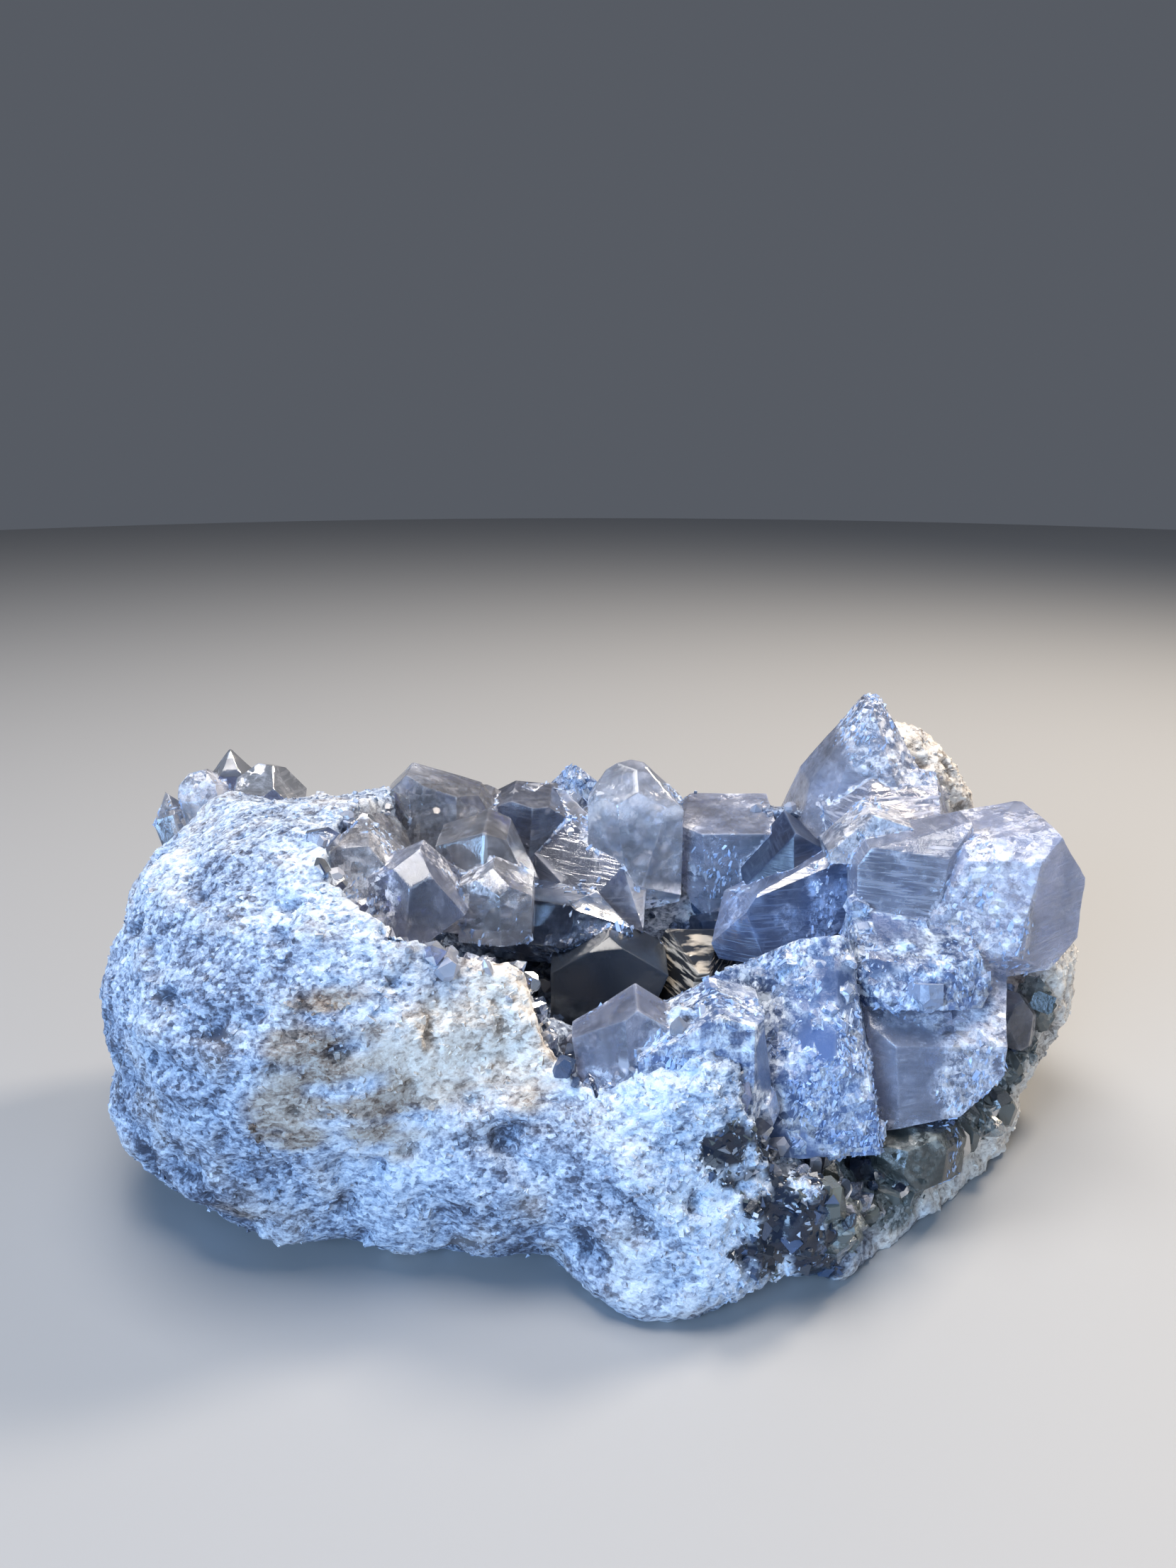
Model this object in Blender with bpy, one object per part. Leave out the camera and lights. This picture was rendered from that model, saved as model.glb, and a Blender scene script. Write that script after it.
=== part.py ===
# A celestite cluster: a broken geode bowl of pale rock whose hollow is lined with
# blocky blue-grey crystals. Metres, +Z up. X runs along the cluster's length: the
# thick rock dome is at -X, and the broken side that shows the crystals faces +X, -Y.
# The origin is on the resting plane, under the middle of the cluster's outline.
# The tables below are in millimetres.
import math
import random

import bmesh
import bpy
from mathutils import Euler, Matrix, Vector, noise

MM = 0.001

FIT_GAP = 0.4          # space between the rock and the crystals that grow on it
CRUST_THICKNESS = 4.5  # crystal lining between the rock and the large crystals
COARSE_VOXEL = 2.4     # grid that melts lumps into one body
FINE_VOXEL = 1.8       # grid of the rock that the rough surface is moved on
ROCK_FACES = 3600      # triangles of the rock's outside
HOLLOW_FACES = 520     # triangles of the hollow's wall
SHELL_LIMIT = 3.0      # how far a sharp corner of an offset body may move, in gaps
REACH = 160.0          # size of the cutting blocks, larger than the cluster
BLOCK_SIZE = 90.0      # size of the rough block that a crystal's faces are cut from

# The rock's lumps: centre and half-axes of each ellipsoid.
ROCK_LUMPS = {
    "dome": ((-49.5, 0, 33), (44.5, 47, 36)),
    "dome foot": ((-53, -12, 19), (38, 33, 21)),
    "dome base": ((-50, -13, 8), (27, 31, 10)),
    "dome crown": ((-66, 15, 44), (28, 30, 20)),
    "notch shoulder": ((-18, -28, 36), (8.5, 9, 15)),
    "front wall": ((-20, -25, 19), (34, 22, 21)),
    "wall foot": ((-28, -26, 8), (32, 20, 10)),
    "front foot": ((9, -31, 14), (25, 22, 22)),
    "front toe": ((10, -42, 6), (17, 14, 12)),
    "front shoulder": ((14, -37, 25), (18, 12, 17)),
    "bowl": ((28, 7, 28), (70, 50, 34)),
    "bowl foot": ((48, -19, 14), (38, 36, 22)),
    "back wall": ((8, 33, 34), (50, 24, 22)),
    "peak wall": ((61, 37, 44.5), (21, 14, 31)),
}
# The hollow, in the same form.
HOLLOW_LUMPS = {
    "left bay": ((2, 3, 66), (46, 35, 42)),
    "left shelf": ((-24, -11, 67), (26, 26, 24)),
    "front notch": ((-2, -27, 52), (12, 20, 25)),
    "right bay": ((60, -9, 48), (33, 40, 36)),
    "break mouth": ((50, -33, 32), (24, 26, 24)),
    "crevice": ((29, -40, 40), (9.5, 16, 22)),
    "saddle": ((20, -21, 56), (17, 17, 20)),
}
# The plane that the front right side broke along: a point on it, and its turn.
BREAK_POINT = (42, -42, 0)
BREAK_TURN = (-7.7, 0, 43.4)

# Prism crystals: root, tip, width, depth, roll about the length in degrees, habit.
# Block crystals: middle, then flat faces. A face has the compass way it looks (0 to
# the front, 90 to the right), its upward slope, and its distance from the middle.
HOLLOW_CRYSTALS = {
    "small point": ((-40, 21, 46), (-42, 14, 67), 14, 11, 30, "pointed"),
    "round block": ((-48, 11, 46), (-45, 3, 64), 17, 14, 0, "blocky"),
    "rim white": ((-6, 41, 44), (-7, 44, 63), 14, 9, 0, "wedge"),
    "long edge": ((-18, 37, 54), (7, 6, 40), 17, 15, 45, "pointed"),
    "dark sparkle": ((-24, 15, 40), (5, 1, 42), 17, 14, 0, "pointed"),
    "dark blue": ((28, 23, 28), (21, 9, 39), 12, 11, 20, "blocky"),
    "long prism": ((56, 13, 54), (20, 0, 39), 15, 14, 20, "wedge"),
    "low left": ((-26, -13, 28), (-18, -19, 42), 14, 12, 0, "blocky"),
    "small grey": ((80, 7, 20), (73, -7, 29), 12, 10, 0, "blocky"),
    "lip block": ((58, -19, 10), (48, -32, 15), 14, 10, 0, "blocky"),
    "bright": ((6, 22, 54), [
        (-90, 0, 10), (-90, -33, 8.5), (-90, 31, 13), (0, 80, 15.5), (90, 45, 12), (90, 0, 9),
        (90, -67, 16), (-40, 5, 9.5), (35, 0, 9.5), (0, 12, 9.5), (-30, 48, 13), (30, 50, 13),
        (5, -50, 12), (180, 0, 8), (150, 40, 11), (-150, 35, 11), (180, -40, 12)]),
    "flat top": ((-34, 22, 56), [
        (90, 73, 10), (90, 31, 11), (-90, 45, 13), (-90, 0, 11), (-40, 25, 11), (5, 30, 11.5),
        (55, 20, 10.5), (90, 0, 12.5), (180, 10, 8), (0, -90, 18), (0, -20, 12)]),
    "lavender": ((-34, -12, 54), [
        (90, 35, 7), (-90, 61, 9), (-90, 0, 9), (80, -58, 5.5), (-90, -45, 9), (30, 10, 8.5),
        (-35, 15, 8.5), (180, 30, 8), (5, 55, 10), (0, -90, 10)]),
    "pale edge": ((-44, -8, 56), [
        (-90, 50, 9), (-90, 0, 8), (-35, 20, 8.5), (15, 25, 8), (10, 78, 9.5), (90, 40, 7),
        (90, 0, 8), (180, 20, 9), (0, -90, 10)]),
    "shelf": ((-24, 2, 56.5), [
        (-90, 70, 7), (90, 63, 7.5), (90, 23, 7), (-20, 20, 8), (35, 15, 8), (-90, 0, 8),
        (180, 0, 8), (0, -90, 10), (60, -35, 8)]),
    "veined": ((-20, -8, 52), [
        (-90, 63, 7.5), (90, 54, 6), (90, 0, 6), (0, -80, 6), (-90, 0, 7), (-25, 10, 7),
        (35, 10, 7), (0, 50, 8), (180, 0, 8)]),
    "grey back": ((-16, 30, 51), [
        (-90, 63, 11), (90, 83, 10), (90, 51, 10), (90, -11, 8), (-90, 0, 11), (-30, 5, 9),
        (30, 0, 9), (180, 0, 8), (0, -90, 14)]),
    "frosted square": ((24, 27, 48.5), [
        (0, 80, 9), (-90, 50, 12), (-90, -25, 9.5), (-90, -53, 10.5), (90, -58, 8),
        (90, -27, 7.5), (90, 0, 10.5), (0, 5, 9.5), (0, 50, 12.5), (-40, 0, 10), (180, 0, 9)]),
    "blue lean": ((36, 14, 49), [
        (-90, 39, 7), (90, 56, 9), (90, 10, 8), (90, -60, 5), (-90, -10, 9), (-30, 15, 8.5),
        (30, 15, 8), (180, 0, 8), (0, -70, 11)]),
    "dark floor": ((-1, 0, 31), [
        (-90, 63, 11), (90, 59, 11.5), (90, -27, 8), (-90, 0, 10), (5, 12, 9), (180, 10, 9),
        (0, -90, 16), (0, 55, 13)]),
    "gold side": ((16, 0, 29), [
        (-65, 32, 6.5), (0, 80, 9.5), (70, 24, 7.5), (20, 10, 8), (180, 0, 8), (-90, 0, 9),
        (0, -90, 14), (90, 0, 9)]),
}
RIGHT_CRYSTALS = {
    "leaning slab": ((34.5, -22, 28), [
        (-13, 41, 12), (-85, -18, 12.5), (80, 12, 10.5), (-25, -25, 21), (25, -25, 22),
        (167, -43, 9), (180, 30, 14), (0, -75, 13), (-48, 36, 12), (38, 30, 12),
        (6, 14, 12), (-30, 12, 13.5)]),
    "lower slab": ((57, -18, 27), [
        (0, 15, 9), (75, 0, 12.5), (60, -38, 10), (20, -58, 11), (-90, 0, 12), (0, 60, 9),
        (180, 0, 10), (-40, 10, 12), (0, -90, 15)]),
    "shoulder": ((55, 0, 51.5), [
        (-90, 77, 11.5), (-90, 34, 12), (-90, 0, 10), (-15, 10, 8.5), (90, 0, 11), (180, 20, 9),
        (45, 0, 10), (0, -90, 14), (-10, 55, 12)]),
    "big block": ((71, 0, 49), [
        (-70, 29, 14.5), (-90, 78, 15), (90, 38, 17), (90, 0, 17), (90, -60, 14),
        (-80, -17, 14), (-90, -60, 12), (-15, 15, 13.5), (38, 0, 12.5), (180, 10, 13),
        (0, -50, 13), (-20, 55, 16), (135, 10, 15)]),
    "frosted base": ((55, -14, 38), [
        (-12, 32, 9.5), (90, 20, 12), (-90, 10, 13), (0, 70, 9), (0, -70, 2.5), (60, -20, 11),
        (180, 0, 10), (-50, -10, 11.5), (28, 18, 10), (-4, -12, 10)]),
    "peak": ((53, 30, 59.5), [
        (-90, 33, 12.5), (-90, 16, 12.5), (-10, 25, 14), (-60, 30, 13.5), (90, 29, 13),
        (45, 30, 14), (0, 80, 22), (180, 20, 9), (90, 0, 13), (0, -90, 20), (0, 0, 15)]),
    "pink facet": ((55, 15, 55), [
        (-80, 5, 12), (-35, 15, 11), (15, 10, 9), (70, 20, 12), (20, 55, 8.5), (180, 0, 8),
        (0, -90, 16), (-60, 55, 11)]),
    "bright chip": ((49, 5, 59), [
        (-90, 47, 5), (90, 75, 6.5), (90, 0, 7), (0, -80, 3.5), (-10, 10, 5), (180, 0, 6),
        (-90, -10, 8)]),
}
FRONT_CRYSTALS = {
    "lavender tip": ((3, -33, 35.5), [
        (-90, 56, 8), (90, 56, 9), (-90, -10, 9), (-35, 10, 6), (15, 15, 6.5), (180, 0, 6),
        (0, -90, 8), (90, 0, 9)]),
    "frosted block": ((16, -33, 34.5), [
        (-90, 62, 9.5), (90, 76, 11), (90, 8, 9.5), (60, 5, 9.5), (0, 10, 8), (180, 0, 8),
        (-90, 0, 12), (0, -90, 9)]),
}
REAR_CRYSTALS = {
    "rear first": ((-88, 28, 46), (-93, 31, 61), 9, 8, 0, "pointed"),
    "rear second": ((-82, 30, 50), (-86, 33, 65), 10, 9, 30, "blocky"),
    "rear third": ((-80, 35, 50), (-81, 39, 68), 9, 8, 0, "pointed"),
    "rear fourth": ((-74, 30, 50), (-71, 34, 66), 15, 11, 10, "blocky"),
}

# Small crystals stand along the hollow's rim, on a line through these points, and
# lean toward a point over the hollow.
RIM_LINE = [(-31, 31, 60), (-17, 35, 55), (0, 36, 53), (16, 36, 52), (34, 35, 53)]
RIM_AIM = (0, 3, 76)
RIM_COUNT = 10
RIM_LENGTH = 9
RIM_WIDTH = 7.5

# Crystal faces by habit. A side face has a compass angle about the crystal's length,
# and its reach as a share of the plain block's reach that way.
SIDES = {
    "blocky": [(0, 1.0), (90, 1.0), (180, 1.0), (270, 1.0),
               (45, 0.82), (135, 0.88), (225, 0.84), (315, 0.9)],
    "pointed": [(36, 0.74), (144, 0.74), (216, 0.74), (324, 0.74), (90, 0.95), (270, 0.95)],
    "wedge": [(0, 1.0), (90, 1.0), (180, 1.0), (270, 1.0), (40, 0.85), (220, 0.88)],
}
# A tip face has a compass angle, its tilt away from square, and how far outside the
# tip point it passes, as a share of the width.
TIPS = {
    "blocky": [(20, 9, 0), (0, 52, 0.10), (180, 48, 0.12), (90, 55, 0.12), (270, 46, 0.10)],
    "pointed": [(36, 52, 0), (144, 54, 0), (216, 55, 0), (324, 51, 0),
                (90, 60, 0.04), (270, 60, 0.04)],
    "wedge": [(0, 50, 0), (180, 46, 0), (90, 60, 0.08), (270, 58, 0.10)],
}


def clear_scene():
    for obj in list(bpy.data.objects):
        bpy.data.objects.remove(obj)


def material(name, colour, roughness):
    made = bpy.data.materials.new(name)
    made.use_nodes = True
    shader = made.node_tree.nodes["Principled BSDF"]
    shader.inputs["Base Color"].default_value = (*colour, 1)
    shader.inputs["Roughness"].default_value = roughness
    shader.inputs["Metallic"].default_value = 0
    return made


def helper_from(bm, name):
    # Objects start as hidden helpers; shown() turns one into a piece.
    mesh = bpy.data.meshes.new(name)
    bm.to_mesh(mesh)
    bm.free()
    obj = bpy.data.objects.new(name, mesh)
    bpy.context.scene.collection.objects.link(obj)
    obj.hide_render = True
    obj.display_type = "WIRE"
    return obj


def shown(obj, name, finish):
    obj.name = name
    obj.hide_render = False
    obj.display_type = "TEXTURED"
    obj.data.materials.clear()
    obj.data.materials.append(finish)
    return obj


def bake(obj):
    # Swaps the object's mesh for its evaluated one and drops the modifiers.
    graph = bpy.context.evaluated_depsgraph_get()
    mesh = bpy.data.meshes.new_from_object(obj.evaluated_get(graph))
    obj.modifiers.clear()
    obj.data = mesh
    return obj


def boolean(obj, operation, other, solver="EXACT"):
    modifier = obj.modifiers.new(operation.title(), "BOOLEAN")
    modifier.operation = operation
    modifier.solver = solver
    if isinstance(other, bpy.types.Collection):
        modifier.operand_type = "COLLECTION"
        modifier.collection = other
    else:
        modifier.object = other


def voxel_melt(obj, voxel):
    remesh = obj.modifiers.new("Melt", "REMESH")
    remesh.mode = "VOXEL"
    remesh.voxel_size = voxel * MM


def thinned(obj, faces):
    thin = obj.modifiers.new("Thin", "DECIMATE")
    thin.ratio = faces / sum(len(p.vertices) - 2 for p in obj.data.polygons)
    return bake(obj)


def largest_body(mesh):
    # Drops every loose piece but the one with the most vertices.
    bm = bmesh.new()
    bm.from_mesh(mesh)
    unseen = set(bm.verts)
    largest = set()
    while unseen:
        start = unseen.pop()
        body = {start}
        edge = [start]
        while edge:
            here = edge.pop()
            fresh = [link.other_vert(here) for link in here.link_edges]
            fresh = [vert for vert in fresh if vert in unseen]
            unseen.difference_update(fresh)
            body.update(fresh)
            edge.extend(fresh)
        if len(body) > len(largest):
            largest = body
    loose = [v for v in bm.verts if v not in largest]
    bmesh.ops.delete(bm, geom=loose, context="VERTS")
    bm.to_mesh(mesh)
    bm.free()


def lumps(name, table, grow=0.0):
    # One body melted from ellipsoids, each grown by a few millimetres.
    bm = bmesh.new()
    for centre, radii in table.values():
        size = Matrix.Diagonal([(r + grow) * MM for r in radii]).to_4x4()
        place = Matrix.Translation(Vector(centre) * MM)
        bmesh.ops.create_icosphere(bm, subdivisions=4, radius=1, matrix=place @ size)
    obj = helper_from(bm, name)
    voxel_melt(obj, COARSE_VOXEL)
    return bake(obj)


def hollow_body(name, grow=0.0):
    return thinned(lumps(name, HOLLOW_LUMPS, grow), HOLLOW_FACES)


def half_space(name, point, turn_deg):
    # A large block whose +Y face holds the point, turned about that point.
    bm = bmesh.new()
    bmesh.ops.create_cube(bm, size=2 * REACH * MM)
    bmesh.ops.translate(bm, verts=bm.verts, vec=(0, -REACH * MM, 0))
    turn = Euler([math.radians(a) for a in turn_deg]).to_matrix().to_4x4()
    bm.transform(Matrix.Translation(Vector(point) * MM) @ turn)
    return helper_from(bm, name)


def offset_copy(obj, name, gap):
    # The same body with its faces moved outward by the gap. The shell factor keeps
    # the gap whole at sharp corners.
    bm = bmesh.new()
    bm.from_mesh(obj.data)
    bm.normal_update()
    moves = [(v, v.normal * min(v.calc_shell_factor(), SHELL_LIMIT)) for v in bm.verts]
    for vertex, move in moves:
        vertex.co += move * gap * MM
    return helper_from(bm, name)


def roughen(mesh):
    # Lumps, ledges and pits, as moves along each vertex's normal.
    normals = [v.normal.copy() for v in mesh.vertices]
    for vertex, normal in zip(mesh.vertices, normals):
        at = vertex.co / MM
        lump = noise.fractal(at / 22, 1.0, 2.0, 3) * 2.2
        ledge = (noise.cell(Vector((at.x / 15, at.y / 15, at.z / 4))) - 0.5) * 0.8
        pit = max(0.0, noise.noise(at / 6 + Vector((9, 0, 0))) - 0.25) * 4.5
        vertex.co += normal * (lump + ledge - pit) * MM


def make_rock(finish):
    # Returns the rock and the space it needs, which is larger by the fit gap.
    rock = shown(lumps("matrix_rock", ROCK_LUMPS), "matrix_rock", finish)
    boolean(rock, "DIFFERENCE", half_space("break_cutter", BREAK_POINT, BREAK_TURN))
    voxel_melt(rock, FINE_VOXEL)
    soften = rock.modifiers.new("Soften", "SMOOTH")
    soften.factor = 0.5
    soften.iterations = 4
    bake(rock)
    roughen(rock.data)
    thinned(rock, ROCK_FACES)
    hollow = hollow_body("hollow_cutter")
    space = offset_copy(rock, "rock_space", FIT_GAP)
    boolean(space, "DIFFERENCE", offset_copy(hollow, "hollow_space", -FIT_GAP))
    bake(space)
    boolean(rock, "DIFFERENCE", hollow)
    boolean(rock, "DIFFERENCE", half_space("ground_cutter", (0, 0, 0), (90, 0, 0)))
    bake(rock)
    largest_body(rock.data)
    return rock, space


def shave(bm, normal, distance):
    # Cuts the convex body at a plane and closes the cut with one flat face.
    geometry = bm.verts[:] + bm.edges[:] + bm.faces[:]
    bmesh.ops.bisect_plane(bm, geom=geometry, dist=1e-7, plane_co=normal * distance,
                           plane_no=normal, clear_outer=True)
    rim = [e for e in bm.edges if e.is_boundary]
    if rim:
        bmesh.ops.holes_fill(bm, edges=rim, sides=0)


def block_body(middle, faces, grow):
    # A rough block cut to its flat faces, about its middle.
    bm = bmesh.new()
    bmesh.ops.create_cube(bm, size=BLOCK_SIZE * MM)
    for way, slope, reach in faces:
        turn, rise = math.radians(way), math.radians(slope)
        normal = Vector((math.sin(turn) * math.cos(rise),
                         -math.cos(turn) * math.cos(rise), math.sin(rise)))
        shave(bm, normal, (reach + grow) * MM)
    bm.transform(Matrix.Translation(Vector(middle) * MM))
    return bm


def prism_body(name, row, grow):
    # A prism cut by its habit's side and tip faces, each a bit out of true.
    root, tip, width, depth, roll, habit = row
    draw = random.Random(name)
    root = Vector(root) * MM
    axis = Vector(tip) * MM - root
    length = axis.length
    bm = bmesh.new()
    bmesh.ops.create_cube(bm, size=1)
    block = (2 * width * MM, 2 * depth * MM, length + 2 * grow * MM)
    bmesh.ops.scale(bm, verts=bm.verts, vec=block)
    bmesh.ops.translate(bm, verts=bm.verts, vec=(0, 0, length / 2))
    for angle, share in SIDES[habit]:
        turn = math.radians(angle + draw.uniform(-5, 5))
        across, along = math.cos(turn), math.sin(turn)
        reach = (width * abs(across) + depth * abs(along)) / 2
        normal = Vector((across, along, draw.uniform(-0.03, 0.06))).normalized()
        shave(bm, normal, (reach * share * draw.uniform(0.95, 1.02) + grow) * MM)
    for angle, tilt, outset in TIPS[habit]:
        turn = math.radians(angle + draw.uniform(-8, 8))
        lean = math.radians(tilt + draw.uniform(-4, 4))
        normal = Vector((math.sin(lean) * math.cos(turn),
                         math.sin(lean) * math.sin(turn), math.cos(lean)))
        apex = length * math.cos(lean)
        outset += draw.uniform(-0.02, 0.03)
        shave(bm, normal, apex + (outset * width + grow) * MM)
    spin = Matrix.Rotation(math.radians(roll), 4, "Z")
    aim = axis.to_track_quat("Z", "Y").to_matrix().to_4x4()
    bm.transform(Matrix.Translation(root) @ aim @ spin)
    return bm


def crystal(name, row, grow=0.0):
    # One crystal from its table row; grow moves every face outward.
    bm = block_body(*row, grow) if len(row) == 2 else prism_body(name, row, grow)
    bmesh.ops.recalc_face_normals(bm, faces=bm.faces)
    return helper_from(bm, name)


def fuse(name, table, grow=0.0):
    # Joins a table's crystals into one solid.
    group = bpy.data.collections.new(name + " parts")
    bpy.context.scene.collection.children.link(group)
    for label, row in table.items():
        grown = crystal(label, row, grow)
        bpy.context.scene.collection.objects.unlink(grown)
        group.objects.link(grown)
    first = group.objects[0]
    group.objects.unlink(first)
    whole = helper_from(bmesh.new(), name)
    whole.data = first.data.copy()
    boolean(whole, "UNION", group)
    return bake(whole)


def rim_table():
    # Rows for the small crystals along the rim line, evenly spread, each a bit different.
    draw = random.Random("rim")
    rows = {}
    for i in range(RIM_COUNT):
        place = i / (RIM_COUNT - 1) * (len(RIM_LINE) - 1)
        leg = min(int(place), len(RIM_LINE) - 2)
        on_line = Vector(RIM_LINE[leg]).lerp(Vector(RIM_LINE[leg + 1]), place - leg)
        lean = (Vector(RIM_AIM) - on_line).normalized()
        lean += Vector([draw.uniform(-0.4, 0.4) for _ in range(3)])
        lean.normalize()
        size = draw.uniform(0.8, 1.25)
        root = on_line - lean * RIM_LENGTH * size * 0.6
        tip = on_line + lean * RIM_LENGTH * size * 0.4
        width = RIM_WIDTH * size * draw.uniform(0.85, 1.2)
        habit = ("blocky", "pointed", "wedge")[i % 3]
        rows[f"rim {i}"] = (root, tip, width, RIM_WIDTH * size, draw.uniform(0, 90), habit)
    return rows


def make_lining(finish):
    # A skin over the hollow's wall: a larger hollow less a smaller one, inside the
    # rock's own outline.
    lining = shown(hollow_body("hollow_crust", grow=2), "hollow_crust", finish)
    outline = thinned(lumps("rim_cutter", ROCK_LUMPS, grow=-1.5), HOLLOW_FACES)
    boolean(lining, "INTERSECT", outline)
    boolean(lining, "DIFFERENCE", half_space("crust_break_cutter", BREAK_POINT, BREAK_TURN))
    boolean(lining, "DIFFERENCE", hollow_body("inner_cutter", grow=-CRUST_THICKNESS))
    return bake(lining)


def clear_of(obj, *spaces):
    # Cuts the other solids' spaces away. The exact solver loses this body when the
    # rock's space, with its thousands of nearly flat faces, is cut from it.
    for space in spaces:
        boolean(obj, "DIFFERENCE", space, solver="MANIFOLD")
    bake(obj)
    largest_body(obj.data)


def build():
    clear_scene()
    rock_finish = material("pale rock", (0.66, 0.70, 0.75), 0.9)
    right_finish = material("grey blue crystal", (0.47, 0.54, 0.67), 0.15)
    front_finish = material("frosted crystal", (0.62, 0.66, 0.75), 0.3)
    rear_finish = material("clear crystal", (0.70, 0.76, 0.84), 0.1)
    crust_finish = material("deep blue crystal", (0.33, 0.40, 0.55), 0.15)

    rock_space = make_rock(rock_finish)[1]
    right = shown(fuse("right_crystals", RIGHT_CRYSTALS), "right_crystals", right_finish)
    front = shown(fuse("front_crystals", FRONT_CRYSTALS), "front_crystals", front_finish)
    rear = shown(fuse("rear_crystals", REAR_CRYSTALS), "rear_crystals", rear_finish)
    right_space = fuse("right_space", RIGHT_CRYSTALS, grow=FIT_GAP)
    front_space = fuse("front_space", FRONT_CRYSTALS, grow=FIT_GAP)
    crust = make_lining(crust_finish)
    inner = fuse("inner crystals", {**HOLLOW_CRYSTALS, **rim_table()})
    boolean(crust, "UNION", inner, solver="MANIFOLD")

    clear_of(right, rock_space)
    clear_of(front, rock_space, right_space)
    clear_of(rear, rock_space)
    clear_of(crust, rock_space, right_space, front_space)


build()
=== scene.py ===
import math
import random
import time

import bmesh
import bpy
import numpy as np
from mathutils import Matrix, Vector, noise


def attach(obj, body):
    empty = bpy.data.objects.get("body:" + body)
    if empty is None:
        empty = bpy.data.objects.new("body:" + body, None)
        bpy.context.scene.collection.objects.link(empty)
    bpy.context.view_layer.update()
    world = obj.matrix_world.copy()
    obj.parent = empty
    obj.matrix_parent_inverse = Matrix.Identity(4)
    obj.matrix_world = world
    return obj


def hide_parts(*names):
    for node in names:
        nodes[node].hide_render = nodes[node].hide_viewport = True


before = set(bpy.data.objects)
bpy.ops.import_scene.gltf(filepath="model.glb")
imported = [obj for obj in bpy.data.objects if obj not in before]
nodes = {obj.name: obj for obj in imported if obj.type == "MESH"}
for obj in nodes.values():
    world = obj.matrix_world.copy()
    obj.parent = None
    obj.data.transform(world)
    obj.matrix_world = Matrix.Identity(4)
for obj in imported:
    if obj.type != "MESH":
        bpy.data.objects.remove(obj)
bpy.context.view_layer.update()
startTime = time.time()
mm = 0.001
pieceCollection = bpy.context.scene.collection


def report(words):
    print(f"{time.time() - startTime:6.1f} s  {words}")


def countTriangles(mesh):
    return sum(len(face.vertices) - 2 for face in mesh.polygons)


def objectOf(mesh, name):
    obj = bpy.data.objects.new(name, mesh)
    pieceCollection.objects.link(obj)
    return obj


def objectFrom(bm, name):
    mesh = bpy.data.meshes.new(name)
    bm.to_mesh(mesh)
    bm.free()
    return objectOf(mesh, name)


def applyModifiers(obj):
    # the modifiers' result becomes the mesh
    graph = bpy.context.evaluated_depsgraph_get()
    mesh = bpy.data.meshes.new_from_object(obj.evaluated_get(graph))
    obj.modifiers.clear()
    obj.data = mesh


def paint(mesh, name, colours):
    # one colour for each vertex, which the materials read by the layer's name
    layer = mesh.color_attributes.new(name, "FLOAT_COLOR", "POINT")
    layer.data.foreach_set("color", np.asarray(colours, dtype=np.float32).ravel())


def clamped(value):
    return min(1.0, max(0.0, value))


def between(span, share):
    # a value between two ends, for a share from 0 to 1
    low, high = span
    return low + (high - low) * share


def addNode(tree, kind, inputs=None, **settings):
    node = tree.nodes.new("ShaderNode" + kind)
    for key, value in settings.items():
        setattr(node, key, value)
    for key, value in (inputs or {}).items():
        if isinstance(value, bpy.types.NodeSocket):
            tree.links.new(value, node.inputs[key])
        else:
            node.inputs[key].default_value = value
    return node


def newMaterial(name):
    made = bpy.data.materials.new(name)
    made.use_nodes = True
    tree = made.node_tree
    return made, tree, tree.nodes["Principled BSDF"]


def ramp(tree, fac, stops, colours):
    node = addNode(tree, "ValToRGB", {"Fac": fac})
    while len(node.color_ramp.elements) < len(stops):
        node.color_ramp.elements.new(0.5)
    for element, place, colour in zip(node.color_ramp.elements, stops, colours):
        element.position = place
        element.color = (*colour, 1)
    return node.outputs["Color"]


def mixed(tree, fac, a, b):
    # mixes two colours
    node = addNode(tree, "Mix", data_type="RGBA")
    for key, value in (("Factor", fac), ("A", a), ("B", b)):
        socket = [s for s in node.inputs if s.name == key and s.enabled][0]
        if isinstance(value, bpy.types.NodeSocket):
            tree.links.new(value, socket)
        else:
            socket.default_value = (*value, 1)
    return [s for s in node.outputs if s.enabled][0]


def blended(tree, fac, a, b):
    # mixes two numbers
    return addNode(tree, "Mix", {"Factor": fac, "A": a, "B": b}).outputs[0]


def sums(tree, kind, *values):
    # one Math node: a sum, a product and so on
    return addNode(tree, "Math", dict(enumerate(values)), operation=kind).outputs[0]


def vectors(tree, kind, *values):
    # one Vector Math node, where SCALE takes a vector and a number
    keys = (0, "Scale") if kind == "SCALE" else range(len(values))
    return addNode(tree, "VectorMath", dict(zip(keys, values)), operation=kind).outputs[0]


def weighted(tree, start, values, weights):
    # a start value plus each value times its weight
    for key, weight in weights.items():
        start = sums(tree, "MULTIPLY_ADD", values[key], weight, start)
    return start


def remapped(tree, value, span, result=(0.0, 1.0)):
    return addNode(tree, "MapRange", {
        "Value": value, "From Min": span[0], "From Max": span[1],
        "To Min": result[0], "To Max": result[1]}).outputs[0]


def noiseFac(tree, place, scale, detail, rough=0.5, distortion=0.0):
    return addNode(tree, "TexNoise", {
        "Vector": place, "Scale": scale, "Detail": detail, "Roughness": rough,
        "Distortion": distortion}).outputs["Fac"]


def channels(tree, colour):
    node = addNode(tree, "SeparateColor", {"Color": colour})
    return [node.outputs[key] for key in ("Red", "Green", "Blue")]


def painted(tree, layer):
    # the three values that a painted layer holds
    return channels(tree, addNode(tree, "VertexColor", layer_name=layer).outputs["Color"])


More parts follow.
